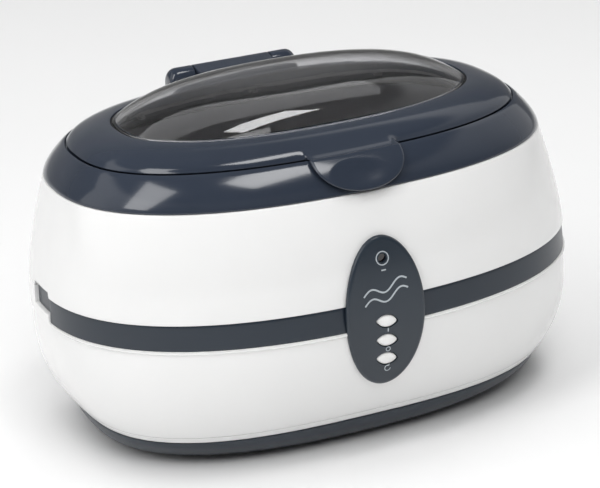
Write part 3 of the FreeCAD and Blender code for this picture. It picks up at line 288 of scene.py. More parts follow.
def brushed_metal(name, colour, gloss, stretch, scale=420.0):
    """Metal with fine brushing along one axis."""
    material, nodes, links = new_material(name)
    shader = nodes["Principled BSDF"]
    coordinates = nodes.new("ShaderNodeTexCoord")
    mapping = nodes.new("ShaderNodeMapping")
    mapping.inputs["Scale"].default_value = stretch
    texture = nodes.new("ShaderNodeTexNoise")
    texture.inputs["Scale"].default_value = scale
    texture.inputs["Detail"].default_value = 5.0
    links.new(coordinates.outputs["Object"], mapping.inputs["Vector"])
    links.new(mapping.outputs["Vector"], texture.inputs["Vector"])
    dark = tuple(channel * 0.9 for channel in colour) + (1.0,)
    links.new(ramp(nodes, links, texture.outputs["Fac"], 0.3, dark, 0.7, colour + (1.0,)),
              shader.inputs["Base Color"])
    links.new(ramp(nodes, links, texture.outputs["Fac"], 0.25, grey(gloss * 0.7), 0.75, grey(gloss * 1.35)),
              shader.inputs["Roughness"])
    bump = nodes.new("ShaderNodeBump")
    bump.inputs["Strength"].default_value = 0.2
    bump.inputs["Distance"].default_value = 0.02 * MM
    links.new(texture.outputs["Fac"], bump.inputs["Height"])
    links.new(bump.outputs["Normal"], shader.inputs["Normal"])
    shader.inputs["Metallic"].default_value = 1.0
    return material


def smoky_glass(name):
    """Clear smoke-tinted acrylic with faint wipe marks in its gloss."""
    material, nodes, links = new_material(name)
    shader = nodes["Principled BSDF"]
    shader.inputs["Transmission Weight"].default_value = 1.0
    shader.inputs["IOR"].default_value = 1.49
    marks = noise(nodes, links, 60.0, 5.0, 0.6, 0.4)
    faint = (0.88, 0.88, 0.90, 1)
    clear = (0.91, 0.91, 0.92, 1)
    links.new(ramp(nodes, links, marks.outputs["Fac"], 0.3, faint, 0.7, clear), shader.inputs["Base Color"])
    links.new(ramp(nodes, links, marks.outputs["Fac"], 0.35, grey(0.015), 0.8, grey(0.05)),
              shader.inputs["Roughness"])
    coordinates = nodes.new("ShaderNodeTexCoord")
    mapping = nodes.new("ShaderNodeMapping")
    mapping.inputs["Scale"].default_value = (0.35, 1.0, 1.0)
    waves = nodes.new("ShaderNodeTexNoise")
    waves.inputs["Scale"].default_value = 130.0
    waves.inputs["Detail"].default_value = 2.0
    links.new(coordinates.outputs["Object"], mapping.inputs["Vector"])
    links.new(mapping.outputs["Vector"], waves.inputs["Vector"])
    bump = nodes.new("ShaderNodeBump")
    bump.inputs["Strength"].default_value = 0.2
    bump.inputs["Distance"].default_value = 0.06 * MM
    links.new(waves.outputs["Fac"], bump.inputs["Height"])
    links.new(bump.outputs["Normal"], shader.inputs["Normal"])
    return material


def make_materials():
    made = {}
    made["white"] = moulded("white_shell", (0.84, 0.84, 0.835), 0.012, 0.16, 900.0, 0.012, coat=0.35)
    made["slate"] = moulded("slate_shell", (0.027, 0.035, 0.052), 0.06, 0.13, 900.0, 0.012, coat=0.25)
    # slate_trim is the band's own colour; on the tray it is also painted shade, darker than the tray's own
    # slate
    made["trim"] = moulded("slate_trim", (0.015, 0.023, 0.035), 0.05, 0.34, 900.0, 0.012, coat=0.12)
    made["panel"] = moulded("panel_face", (0.018, 0.027, 0.039), 0.07, 0.36, 900.0, 0.012, coat=0.12)
    made["button"] = moulded("button_white", (0.88, 0.88, 0.87), 0.01, 0.25, 1400.0, 0.01, coat=0.2)
    made["print"] = moulded("printed_grey", (0.42, 0.46, 0.49), 0.08, 0.5, 2200.0, 0.01)
    made["rubber"] = moulded("black_rubber", (0.012, 0.012, 0.013), 0.15, 0.6, 1300.0, 0.03)
    made["black"] = moulded("black_plastic", (0.018, 0.019, 0.021), 0.1, 0.42, 1300.0, 0.02)
    made["lamp"] = moulded("lamp_lens", (0.012, 0.006, 0.006), 0.1, 0.08, 900.0, 0.004, coat=0.6)
    made["steel"] = brushed_metal("plated_steel", (0.62, 0.62, 0.63), 0.25, (1.0, 1.0, 14.0))
    made["stainless"] = brushed_metal("drawn_stainless", (0.50, 0.50, 0.505), 0.44, (1.0, 1.0, 5.0), 240.0)
    made["aluminium"] = brushed_metal("bare_aluminium", (0.77, 0.77, 0.78), 0.35, (1.0, 9.0, 1.0), 300.0)
    made["board"] = moulded("circuit_board", (0.015, 0.09, 0.035), 0.25, 0.4, 700.0, 0.03)
    made["winding"] = moulded("taped_winding", (0.32, 0.17, 0.03), 0.3, 0.5, 600.0, 0.05)
    made["ceramic"] = moulded("piezo_ceramic", (0.34, 0.27, 0.18), 0.12, 0.45, 900.0, 0.02)
    made["lead"] = moulded("lead_insulation", (0.02, 0.03, 0.12), 0.15, 0.45, 900.0, 0.02)
    made["glass"] = smoky_glass("smoky_window")
    made["fuse"] = moulded("fuse_ceramic", (0.55, 0.54, 0.5), 0.08, 0.3, 900.0, 0.01, coat=0.4)
    return made


# ------------------------------------------------------------------ white shells and band


def end_steps(point, front, notch, back):
    """A height that steps at both edges of the end notches."""
    edge = 0.55
    rise = smooth_step(NOTCH_FRONT - edge, NOTCH_FRONT + edge, point.y)
    over = smooth_step(NOTCH_BACK - edge, NOTCH_BACK + edge, point.y)
    return front + (notch - front) * rise + (back - notch) * over


INLET_PAD = 67.4
INLET_LOW = 18.5
INLET_HIGH = 41.5
INLET_TURN = math.radians(13.85)


def pad_angles(angles):
    """The same directions, with two more at each side of the inlet's sunk pad."""
    more = [math.pi / 2 + side * (INLET_TURN + extra) for side in (-1, 1) for extra in (0.0, 0.006)]
    return sorted(set(angles) | set(more))


def sunk_pad(row):
    """Presses a row of the back wall in to the flat pad round the mains inlet."""
    def point_at(angle):
        point = row(angle)
        beside = abs(angle - math.pi / 2) > INLET_TURN + 0.001
        if beside or point.z < INLET_LOW - 0.01 or point.z > INLET_HIGH + 0.01:
            return point
        return Vector((point.x, INLET_PAD, point.z))
    return point_at


def behind_fittings(point):
    """Places that the control panel or the mains inlet covers, left open for them."""
    behind_inlet = point.y > 60.0 and abs(point.x) < 13.2 and INLET_LOW + 3.5 < point.z < INLET_HIGH - 3.5
    return behind_inlet or behind_panel(point)


def make_lower_shell(material):
    angles = pad_angles(notch_angles())
    low = BASE[0]
    shoulder = LIP[0] - LIP_DEPTH

    def top_height(angle):
        return end_steps(on_oval(LIP, angle), LIP[0], NOTCH_LOW, SEAM[0] - SEAM_GAP)

    def upper_row(share, inset, drop=0.0):
        def point_at(angle):
            height = shoulder + 0.75 + (top_height(angle) - shoulder - 0.75) * share - drop
            return on_oval(between(LIP, SEAM, height), angle, inset)
        return point_at

    profile = [skin_row(low + 3.0, WALL), skin_row(low + 0.02, WALL)]
    profile += [skin_row(low + 0.02, 0.55), skin_row(low + 0.14, 0.18), skin_row(low + 0.5, 0.0)]
    crease = low + 2.9
    profile += [skin_row(height) for height in spread(low + 1.2, crease - 0.35, 3)]
    profile += [skin_row(crease - 0.12, 0.05), skin_row(crease, 0.3), skin_row(crease + 0.12, 0.05)]
    wall = spread(crease + 0.35, shoulder - 0.25, 26)
    wall += [INLET_LOW - 0.3, INLET_LOW, INLET_HIGH, INLET_HIGH + 0.3]
    profile += [sunk_pad(skin_row(height)) for height in sorted(wall)]
    profile += [skin_row(shoulder, 0.0), upper_row(0.0, 0.62, 0.55), upper_row(0.0, 0.25, 0.25)]
    profile += [upper_row(share, 0.0) for share in (0.0, 0.2, 0.4, 0.6, 0.8)]
    profile += [upper_row(1.0, 0.0, 0.3), upper_row(1.0, 0.09, 0.09), upper_row(1.0, 0.3)]
    profile += [upper_row(1.0, 0.8), upper_row(1.0, 1.6), upper_row(1.0, WALL), upper_row(1.0, WALL, 3.0)]
    profile += [skin_row(height, WALL) for height in reversed(spread(low + 5.0, shoulder - 3.0, 22))]
    piece = ring_piece("lower_shell", from_profile(angles, profile), material, leave_out=behind_fittings)
    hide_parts("lower_housing")
    return piece


def make_upper_shell(material):
    angles = notch_angles()

    def bottom_height(angle):
        return end_steps(on_oval(SEAM, angle), SEAM[0], NOTCH_HIGH, SEAM[0] + SEAM_GAP)

    def row(share, inset, rise=0.0):
        def point_at(angle):
            low = bottom_height(angle)
            height = low + (DECK[0] - low) * share + rise
            return on_oval(skin(height), angle, inset)
        return point_at

    profile = [row(0.0, WALL, 3.0), row(0.0, WALL), row(0.0, 1.6), row(0.0, 0.8)]
    profile += [row(0.0, 0.35), row(0.0, 0.1, 0.1), row(0.0, 0.0, 0.35)]
    profile += [row(share, 0.0) for share in spread(0.03, 0.985, 26)]
    profile += [row(1.0, 0.02, -0.25), row(1.0, 0.22, -0.04), row(1.0, 0.6)]
    profile += [row(1.0, WALL), row(1.0, WALL, -3.0)]
    profile += [row(share, WALL) for share in reversed(spread(0.1, 0.9, 18))]
    piece = ring_piece("upper_shell", from_profile(angles, profile), material, leave_out=behind_panel)
    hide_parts("upper_housing")
    return piece


BAND_COLUMNS = 170
BAND_START_X = 14.9
BAND_PLAY = 0.02


def make_band(material):
    """Front strip with a deeper, raised tail in each end notch."""
    pieces = []
    for sign in (-1, 1):
        columns = []
        turn_start = math.atan2(-LIP[2], BAND_START_X)
        turn_end = math.atan2(NOTCH_BACK - 0.15, LIP[1])
        for step in range(BAND_COLUMNS):
            share = step / (BAND_COLUMNS - 1)
            turn = turn_start + (turn_end - turn_start) * share
            angle = turn if sign > 0 else math.pi - turn
            y = on_oval(LIP, angle).y
            into = smooth_step(NOTCH_FRONT - 0.35, NOTCH_FRONT + 1.6, y)
            step_up = smooth_step(NOTCH_FRONT - 0.35, NOTCH_FRONT + 0.35, y)
            low = LIP[0] + BAND_PLAY + (NOTCH_LOW - LIP[0]) * step_up
            high = SEAM[0] - BAND_PLAY + (NOTCH_HIGH - 0.1 - SEAM[0]) * step_up
            inset = BAND_INSET + (TAIL_INSET - BAND_INSET) * into
            deep = BAND_INSET + BAND_THICKNESS + 0.5 * into
            outline = [(low, deep), (low, inset + 0.25), (low + 0.07, inset + 0.07), (low + 0.25, inset)]
            outline += [(height, inset) for height in spread(low + 1.2, high - 1.2, 4)]
            outline += [(high - 0.25, inset), (high - 0.07, inset + 0.07)]
            outline += [(high, inset + 0.25), (high, deep)]
            column = [on_oval(between(LIP, SEAM, height), angle, depth) for height, depth in outline]
            columns.append(column if sign > 0 else column[::-1])
        points, faces = strip_points(columns)
        name = "trim_band_right" if sign > 0 else "trim_band_left"
        pieces.append(to_piece(name, points, faces, material))
    for piece in pieces:
        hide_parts("trim_band")
    return pieces


# ------------------------------------------------------------------ base tray


def disc_fan(points, faces, row, middle):
    """Close a row of points with a fan round a middle point."""
    count = len(row)
    points.append(middle)
    hub = len(points) - 1
    for index in range(count):
        faces.append((row[index], row[(index + 1) % count], hub))


def plate_with_holes(outline, holes, spots=()):
    """Triangles of a flat outline with holes in it, as 2-D points and index triples."""
    flat = []
    edges = []
    for loop in [outline] + list(holes):
        first = len(flat)
        flat += [Vector((x, y)) for x, y in loop]
        edges += [(first + index, first + (index + 1) % len(loop)) for index in range(len(loop))]
    flat += [Vector((x, y)) for x, y in spots]
    result = delaunay_2d_cdt(flat, edges, [], 0, 1e-5)
    kept = []
    for face in result[2]:
        middle = sum((result[0][index] for index in face), Vector((0, 0))) / len(face)
        if inside_loop(middle, outline) and not any(inside_loop(middle, hole) for hole in holes):
            kept.append(tuple(face))
    return list(result[0]), kept


def inside_loop(spot, loop):
    crossings = 0
    for index, (x, y) in enumerate(loop):
        next_x, next_y = loop[(index + 1) % len(loop)]
        if (y > spot.y) != (next_y > spot.y):
            if spot.x < x + (spot.y - y) * (next_x - x) / (next_y - y):
                crossings += 1
    return crossings % 2 == 1


def circle(x, y, radius, count=40):
    return [(x + radius * math.cos(turn), y + radius * math.sin(turn)) for turn in around(count)]


TRAY_GAP = 0.12
TRAY_ROUND = 1.6
TRAY_WALL = 2.4
WELL_RADIUS = 3.2
WELL_DEPTH = 3.0
WELL_X = 70
WELL_Y = 17


def make_tray(material):
    """Dark base tray with a rounded lower edge and the four screw wells in its underside; its colour is the
    tray's own dark slate, darkened further to the trim colour as painted shade under the body.
    """
    angles = around(256)
    low = FLOOR[0]
    high = BASE[0] - TRAY_GAP
    profile = [skin_row(high - 3.0, TRAY_WALL), skin_row(high, TRAY_WALL), skin_row(high, 0.45)]
    profile += [skin_row(high - 0.12, 0.12), skin_row(high - 0.45, 0.0)]
    profile += [skin_row(height) for height in spread(high - 1.0, low + TRAY_ROUND, 9)]
    for step in range(1, 7):
        turn = math.pi / 2 * step / 6
        height = low + TRAY_ROUND * (1 - math.sin(turn))
        profile.append(skin_row(height, TRAY_ROUND * (1 - math.cos(turn))))
    rows = from_profile(angles, profile)
    points = [point for row in rows for point in row]
    faces = grid_faces(len(rows), len(angles), False, True)
    wells = [circle(x, y, WELL_RADIUS) for x in (-WELL_X, WELL_X) for y in (-WELL_Y, WELL_Y)]
    edge = [(point.x, point.y) for point in rows[-1]]
    flat, triangles = plate_with_holes(edge, wells)
    add_part(points, faces, [Vector((spot.x, spot.y, low)) for spot in flat], triangles)
    for well in wells:
        first = len(points)
        for depth in (0.0, WELL_DEPTH):
            points += [Vector((x, y, low + depth)) for x, y in well]
        faces += grid_faces(2, len(well), False, True, first)
    piece = to_piece("tray", points, faces, material)
    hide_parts("base_tray")
    return piece


# ------------------------------------------------------------------ deck and hinge

HINGE = (57.0, 114.1)
KNUCKLE = 4.4
LID_KNUCKLE_HALF = 15.9
DECK_KNUCKLES = (16.3, 26.6)
DECK_GAP = 0.12
DECK_WALL = 2.4
SEAT_DROP = 1.0
COLLAR_INSET = 6.2
COLLAR_LOW = 105.0


def bar_along_x(profile, low_x, high_x, low_round, high_round):
    """Closed profile in the YZ plane swept along X, its ends rounded down towards its foot."""
    foot_y = sum(y for y, z in profile) / len(profile)
    foot_z = min(z for y, z in profile)
    reach = max(z for y, z in profile) - foot_z
    placed = []
    for edge, sign, radius in ((low_x, 1, low_round), (high_x, -1, high_round)):
        for step in range(7):
            turn = math.pi / 2 * step / 6
            placed.append((
                edge + sign * radius * (1 - math.sin(turn)),
                1 - radius * (1 - math.cos(turn)) / reach,
            ))
    columns = []
    for x, scale in sorted(placed):
        columns.append([
            Vector((x, foot_y + (y - foot_y) * scale, foot_z + (z - foot_z) * scale))
            for y, z in profile
        ])
    return strip_points(columns)


def knuckle_profile(front, low, back):
    """Round-backed bar: a flat foot and a half circle over the hinge axis."""
    y, z = HINGE
    points = [(front, low), (back, low)]
    for step in range(19):
        turn = math.radians(-10 + 200 * step / 18)
        points.append((y + KNUCKLE * math.cos(turn), z + KNUCKLE * math.sin(turn)))
    return points


def make_deck(material):
    """Sloping deck with its seat for the lid, and the two outer hinge knuckles."""
    angles = around(288)
    low = DECK[0] + DECK_GAP
    profile = [skin_row(low, DECK_WALL), skin_row(low, 0.5), skin_row(low + 0.12, 0.12), skin_row(low + 0.5)]
    profile += [skin_row(height) for height in spread(low + 1.2, RIM[0] - 0.5, 14)]
    profile += [level_row(RIM, 0.16, RIM[0] - 0.12), level_row(RIM, 0.4), level_row(RIM, 0.6, RIM[0] - 0.1)]
    seat = RIM[0] - SEAT_DROP
    profile += [level_row(RIM, 0.7, seat + 0.2), level_row(RIM, 0.9, seat), level_row(RIM, 5.6, seat)]
    profile += [level_row(RIM, 6.0, seat - 0.15), level_row(RIM, COLLAR_INSET, seat - 0.6)]
    profile += [level_row(RIM, COLLAR_INSET, COLLAR_LOW), level_row(RIM, 3.4, COLLAR_LOW)]
    profile.append(level_row(RIM, 3.4, COLLAR_LOW + 1.8))
    rows = from_profile(angles, profile)
    points = [point for row in rows for point in row]
    faces = grid_faces(len(rows), len(angles), True, True)
    outline = knuckle_profile(HINGE[0] - 2.0, 106.5, 61.4)
    for sign in (-1, 1):
        low_x, high_x = sorted(sign * x for x in DECK_KNUCKLES)
        ends = (0.4, 3.6) if sign > 0 else (3.6, 0.4)
        add_part(points, faces, *bar_along_x(outline, low_x, high_x, *ends))
    piece = to_piece("deck", points, faces, material)
    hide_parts("top_deck")
    return piece


# ------------------------------------------------------------------ lid

TAB_HALF = 17.5
TAB_LOW = lowest("lid_frame").z
TAB_STAND = 3.9
TAB_PLAY = 0.9
TAB_COLUMNS = 120
TAB_ROWS = 56
CREASE_Z = 111.2
TAB_ROOT_Z = 110.0
TAB_PULL = 0.46
SCOOP_X = -1.0
SCOOP_Z = 105.3
SCOOP_LEFT = 12.6
SCOOP_RIGHT = 13.0
SCOOP_TALL = 5.2
SCOOP_DEPTH = 1.15


def front_y(shape, x, outward=0.0):
    """Front half's Y of an oval at a distance from the middle."""
    height, half_length, half_width, exponent = shape
    share = min(1.0, abs(x) / (half_length + outward)) ** exponent
    return -(half_width + outward) * (1 - share) ** (1 / exponent)


def crease_point(x):
    """Edge where the lid's shoulder turns down into the lift tab's face."""
    return Vector((x, front_y(skin(CREASE_Z), x, TAB_STAND - 0.3), CREASE_Z))


def lid_level(share):
    turn = math.pi / 2 * share
    inward = 1 - math.cos(turn) ** 1.25
    rise = math.sin(turn) ** 1.1
    return (
        LID[0] + (WINDOW[0] - LID[0]) * rise,
        LID[1] + (WINDOW[1] - LID[1]) * inward,
        LID[2] + (WINDOW[2] - LID[2]) * inward,
        LID[3] + (WINDOW[3] - LID[3]) * inward,
    )


def lid_angles():
    """Directions round the lid, closer together at both roots of the lift tab."""
    angles = set(round(angle, 6) for angle in around(320))
    for side in (-1, 1):
        root = math.atan2(front_y(LID, TAB_HALF), side * TAB_HALF)
        for step in range(-16, 17):
            angles.add(round((root + math.radians(0.07 * step)) % (2 * math.pi), 6))
    return sorted(angles)


def shoulder_row(share):
    """Row of the lid's shoulder, drawn outwards over the lift tab."""
    pull = max(0.0, 1 - share / TAB_PULL) ** 2.0
    soft = 0.3 + 16.0 * share

    def point_at(angle):
        point = on_oval(lid_level(share), angle)
        edge = on_oval(LID, angle)
        if point.y > 0 or pull == 0.0:
            return point
        weight = 1 - smooth_step(TAB_HALF - 0.3 - 0.5 * soft, TAB_HALF - 0.1 + 0.5 * soft, abs(edge.x))
        target = crease_point(edge.x)
        return point + (target - edge) * weight * pull
    return point_at


def lid_frame_rows(angles):
    """Rows round the lid frame, from its mouth under the rolled edge, over the top, to the window's seat."""
    mouth = (RIM[0], RIM[1] - COLLAR_INSET, RIM[2] - COLLAR_INSET, RIM[3])
    edge = LID[0]

    def low_row(inset, rise):
        def point_at(angle):
            point = on_oval(LID, angle, inset)
            start = shoulder_row(0.0)(angle)
            moved = start - on_oval(LID, angle)
            weight = min(1.0, moved.length / 3.0)
            fade = 1.0 if inset < 2.0 else 0.0
            lifted = Vector((0, 0, rise * (1 - 0.96 * weight)))
            return point + lifted + moved * fade * (1 - 0.1 * inset)
        return point_at

    profile = [level_row(mouth, 0.6, edge), low_row(2.2, 0.0), low_row(1.3, 0.12), low_row(0.75, 0.36)]
    profile += [low_row(0.36, 0.72), low_row(0.14, 1.1)]
    shares = [0.15, 0.18, 0.21, 0.24, 0.28, 0.32, 0.36, 0.4, 0.46, 0.52]
    profile += [shoulder_row(share) for share in shares + spread(0.58, 0.96, 9)]
    top = WINDOW[0]
    profile += [level_row(WINDOW, -0.25, top - 0.02), level_row(WINDOW, -0.06, top - 0.16)]
    profile += [level_row(WINDOW, 0.0, top - 0.45), level_row(WINDOW, 0.0, top - 1.5)]
    profile += [level_row(WINDOW, 3.4, top - 1.5), level_row(WINDOW, 3.4, top - 3.9)]
    profile += [level_row(WINDOW, -2.6, top - 3.9), level_row(mouth, 2.2, edge + 1.4)]
    profile += [level_row(mouth, 2.2, edge - 2.7), level_row(mouth, 1.9, edge - 3.0)]
    profile += [level_row(mouth, 0.9, edge - 3.0), level_row(mouth, 0.6, edge - 2.7)]
    return from_profile(angles, profile)


def tab_edge_distance(x, z):
    """Roughly how far a point lies inside the lift tab's outline."""
    drop = TAB_ROOT_Z - TAB_LOW
    down = max(0.0, TAB_ROOT_Z - z) / drop
    across = x / TAB_HALF
    reach = math.hypot(across, down)
    if reach < 0.2:
        return TAB_HALF
    slope = math.hypot(across / TAB_HALF, down / drop) / reach
    return max(0.0, (1 - reach) / slope)


def scoop_depth(x, z):
    """Hollow for the thumb: crisp round its left and lower sides, fading towards the upper right."""
    along = x - SCOOP_X
    across = z - SCOOP_Z
    half_length = SCOOP_LEFT if along < 0 else SCOOP_RIGHT
    reach = math.hypot(along / half_length, across / SCOOP_TALL)
    if reach >= 1.0:
        return 0.0
    fade = 1.4 + 1.0 * smooth_step(-3.0, 9.0, along + across)
    return SCOOP_DEPTH * (1 - reach ** 2) ** fade


def rounding(distance, radius):
    if distance >= radius:
        return 0.0
    return radius - math.sqrt(radius ** 2 - (radius - distance) ** 2)


def tab_column(x):
    """Closed section of the lift tab at one distance from the middle."""
    low = TAB_ROOT_Z - (TAB_ROOT_Z - TAB_LOW) * math.sqrt(max(0.0, 1 - (x / TAB_HALF) ** 2))
    outer = []
    top = crease_point(x)
    outer.append(top + Vector((0, 0.5, -0.02)))
    outer.append(top + Vector((0, 0.04, 0.0)))
    for step in range(TAB_ROWS + 1):
        share = 1 - (1 - step / TAB_ROWS) ** 1.7
        z = CREASE_Z - 0.06 - (CREASE_Z - 0.06 - low) * share
        distance = tab_edge_distance(x, z)
        into = rounding(distance, 1.1) + scoop_depth(x, z) + rounding(CREASE_Z - z, 0.5) * 0.6
        outer.append(Vector((x, front_y(skin(z), x, TAB_STAND - into), z)))
    inner = []
    for step in range(13):
        share = step / 12
        z = low + (CREASE_Z - 0.8 - low) * share
        into = rounding(tab_edge_distance(x, z), 0.5)
        inner.append(Vector((x, front_y(skin(z), x, TAB_PLAY + into), z)))
    return outer + inner


def make_lid(material):
    """Lid frame: rounded shoulder that runs out into the lift tab, hinge arm and knuckle."""
    angles = lid_angles()
    rows = lid_frame_rows(angles)
    points = [point for row in rows for point in row]
    faces = grid_faces(len(rows), len(angles), True, True)
    reach = TAB_HALF - 0.02
    turns = [math.pi * step / TAB_COLUMNS for step in range(TAB_COLUMNS + 1)]
    columns = [tab_column(-reach * math.cos(turn)) for turn in turns]
    y, z = HINGE
    arm = [(y, z - KNUCKLE), (47.5, 112.0), (47.5, 116.9), (50.5, 117.3)]
    arm += [(y + KNUCKLE * math.cos(turn), z + KNUCKLE * math.sin(turn))
            for turn in [math.radians(102 - 192 * step / 20) for step in range(20)]]
    add_part(points, faces, *strip_points(columns))
    add_part(points, faces, *bar_along_x(arm, -LID_KNUCKLE_HALF, LID_KNUCKLE_HALF, 0.4, 0.4))
    piece = to_piece("lid_cover", points, faces, material, "lid")
    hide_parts("lid_frame")
    return piece


WINDOW_PLAY = 0.8
WINDOW_THICK = 1.8
WINDOW_RISE = highest("lid_window").z - WINDOW[0]
WINDOW_DEEP = 1.5
DOME_POWER = 4.5
DOME_TOP_EXPONENT = 2.1


def dome_level(share, inset, drop):
    reach = math.cos(math.pi / 2 * share)
    rise = WINDOW_RISE * (1 - reach ** DOME_POWER)
    exponent = DOME_TOP_EXPONENT + (WINDOW[3] - DOME_TOP_EXPONENT) * reach
    return (WINDOW[0] + rise - drop, (WINDOW[1] - inset) * reach, (WINDOW[2] - inset) * reach, exponent)


def make_window(material):
    """Domed window, a closed shell with a rounded rim."""
    angles = around(256)
    shares = [0.03, 0.06, 0.1, 0.14, 0.19, 0.24, 0.29, 0.34, 0.4, 0.46]
    shares += [0.53, 0.6, 0.68, 0.76, 0.84, 0.92, 0.97]
    low = WINDOW[0] - WINDOW_DEEP

    def outer_row(share):
        return [on_oval(dome_level(share, WINDOW_PLAY, 0.0), angle) for angle in angles]

    def inner_row(share):
        level_here = dome_level(share, WINDOW_PLAY + WINDOW_THICK, WINDOW_THICK)
        return [on_oval(level_here, angle) for angle in angles]

    rim = dome_level(0.0, WINDOW_PLAY, 0.0)
    rim_inner = dome_level(0.0, WINDOW_PLAY + WINDOW_THICK, 0.0)
    rows = [inner_row(share) for share in reversed([0.0] + shares)]
    rows += [[on_oval((low,) + rim_inner[1:], angle) for angle in angles]]
    rows += [[on_oval((low,) + rim[1:], angle, 0.3) for angle in angles]]
    rows += [[on_oval((low + 0.3,) + rim[1:], angle) for angle in angles]]
    rows += [outer_row(share) for share in [0.0] + shares]
    points = [point for row in rows for point in row]
    faces = grid_faces(len(rows), len(angles), False, True)
    last = (len(rows) - 1) * len(angles)
    outer_top = Vector((0, 0, dome_level(1.0, 0, 0.0)[0]))
    disc_fan(points, faces, list(range(last, last + len(angles))), outer_top)
    inner_top = Vector((0, 0, dome_level(1.0, 0, WINDOW_THICK)[0]))
    disc_fan(points, faces, list(range(len(angles)))[::-1], inner_top)
    piece = to_piece("window_dome", points, faces, material, "lid", 60.0)
    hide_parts("lid_window")
    return piece


def make_gasket(material):
    """Soft black bead between the window and its frame."""
    low = WINDOW[0] - 1.48
    top = WINDOW[0] - 0.5
    crown = top + 0.16
    profile = [level_row(WINDOW, 0.04, low), level_row(WINDOW, 0.04, top), level_row(WINDOW, 0.2, crown)]
    profile += [level_row(WINDOW, 0.55, crown), level_row(WINDOW, 0.76, top), level_row(WINDOW, 0.76, low)]
    piece = ring_piece("window_bead", from_profile(around(256), profile), material, "lid")
    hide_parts("window_gasket")
    return piece


# ------------------------------------------------------------------ control panel

PANEL_Z = (lowest("control_panel").z + highest("control_panel").z) / 2
PANEL_HALF = highest("control_panel").x
PANEL_TALL = (highest("control_panel").z - lowest("control_panel").z) / 2
PANEL_FRONT = lowest("control_panel").y
PANEL_CURVE = 110.0
PANEL_EDGE = 1.3
LENS_LONG = 8.3
LENS_TALL = 4.6
LENS_SLANT = 0.165
BUTTON_PLAY = 0.3
LAMP_HOLE = 1.6
HOLE_WALL = 2.0
PRINT_LIFT = 0.02
BUTTON_HEIGHTS = {
    name: (lowest(name + "_button").z + highest(name + "_button").z) / 2 for name in ("on", "off", "reset")
}
LAMP_Z = (lowest("power_lamp").z + highest("power_lamp").z) / 2


def panel_y(z, sunk=0.0):
    """Panel face: part of a large drum lying along X."""
    drop = PANEL_CURVE - math.sqrt(PANEL_CURVE ** 2 - (z - PANEL_Z) ** 2)
    return PANEL_FRONT + drop + sunk


def panel_oval(inset, count=160):
    a = PANEL_HALF - inset
    b = PANEL_TALL - inset
    return [(a * math.cos(turn), PANEL_Z + b * math.sin(turn)) for turn in around(count)]


def lens(height, margin=0.0, count=22):
    """Two arcs that meet in blunt points, the left one a little higher."""
    half = LENS_LONG / 2 + margin
    rise = LENS_TALL / 2 + margin
    blunt = 0.34
    radius = (half ** 2 + rise ** 2) / (2 * rise)
    reach = math.asin(half / radius) - blunt / radius
    tilt = math.asin(LENS_SLANT)
    points = []
    for sign in (1, -1):
        for step in range(count):
            turn = reach * (1 - 2 * step / (count - 1)) * sign
            x = radius * math.sin(turn)
            z = sign * (radius * math.cos(turn) - radius + rise)
            points.append((
                x * math.cos(tilt) + z * math.sin(tilt),
                height + z * math.cos(tilt) - x * math.sin(tilt),
            ))
    return points


def panel_holes():
    holes = [lens(height, BUTTON_PLAY) for height in BUTTON_HEIGHTS.values()]
    holes.append(circle(0, LAMP_Z, LAMP_HOLE, 32))
    return holes


def make_panel(material):
    """Oval control plate with a rounded rim, its openings and their short walls."""
    insets = [(0.8, 6.5), (0.8, 1.75), (0.3, 1.55), (0.02, 1.4), (0.0, 1.15), (0.1, 0.7), (0.35, 0.34)]
    insets += [(0.75, 0.08), (PANEL_EDGE, 0.0)]
    rows = [[Vector((x, panel_y(z, sunk), z)) for x, z in panel_oval(inset)] for inset, sunk in insets]
    points = [point for row in rows for point in row]
    faces = grid_faces(len(rows), len(rows[0]), False, True)
    spots = [(x, z) for x in spread(-12, 12, 13) for z in spread(PANEL_Z - 25, PANEL_Z + 25, 26)]
    holes = panel_holes()
    room = panel_oval(PANEL_EDGE + 0.8)
    spots = [spot for spot in spots if inside_loop(Vector(spot), room)]
    flat, triangles = plate_with_holes(panel_oval(PANEL_EDGE), holes, spots)
    add_part(points, faces, [Vector((spot.x, panel_y(spot.y), spot.y)) for spot in flat], triangles)
    for hole in holes:
        first = len(points)
        for sunk in (0.0, HOLE_WALL):
            points += [Vector((x, panel_y(z, sunk), z)) for x, z in hole]
        faces += grid_faces(2, len(hole), False, True, first)
    piece = to_piece("panel_plate", points, faces, material, "base", 50.0)
    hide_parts("control_panel")
    return piece


def make_button(name, material):
    """Lens-shaped cap with a softly crowned face."""
    height = BUTTON_HEIGHTS[name]
    outline = lens(height)
    rings = [(1.0, 3.4), (1.0, 0.75), (0.985, 0.5), (0.94, 0.34), (0.8, 0.22), (0.55, 0.1), (0.25, 0.04)]
    points = []
    for scale, sunk in rings:
        for x, z in outline:
            placed_z = height + (z - height) * scale
            points.append(Vector((x * scale, panel_y(placed_z, sunk), placed_z)))
    faces = grid_faces(len(rings), len(outline), False, True)
    last = (len(rings) - 1) * len(outline)
    middle = Vector((0, panel_y(height, 0.03), height))
    disc_fan(points, faces, list(range(last, last + len(outline))), middle)
    piece = to_piece(name + "_cap", points, faces, material, name + "_key", 50.0)
    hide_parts(name + "_button")
    return piece


def ribbon(path, width, closed=False):
    """Thin printed line along a path on the panel's face."""
    points = []
    count = len(path)
    for index, (x, z) in enumerate(path):
        before = path[index - 1] if closed or index else path[index]
        after = path[(index + 1) % count] if closed or index < count - 1 else path[index]
        along = Vector((after[0] - before[0], after[1] - before[1])).normalized()
        side = Vector((-along.y, along.x)) * width / 2
        for sign in (1, -1):
            spot = Vector((x, z)) + side * sign
            points.append(Vector((spot.x, panel_y(spot.y, -PRINT_LIFT), spot.y)))
    faces = []
    for index in range(count if closed else count - 1):
        near = 2 * index
        far = 2 * ((index + 1) % count)
        faces.append((near, near + 1, far + 1, far))
    return points, faces


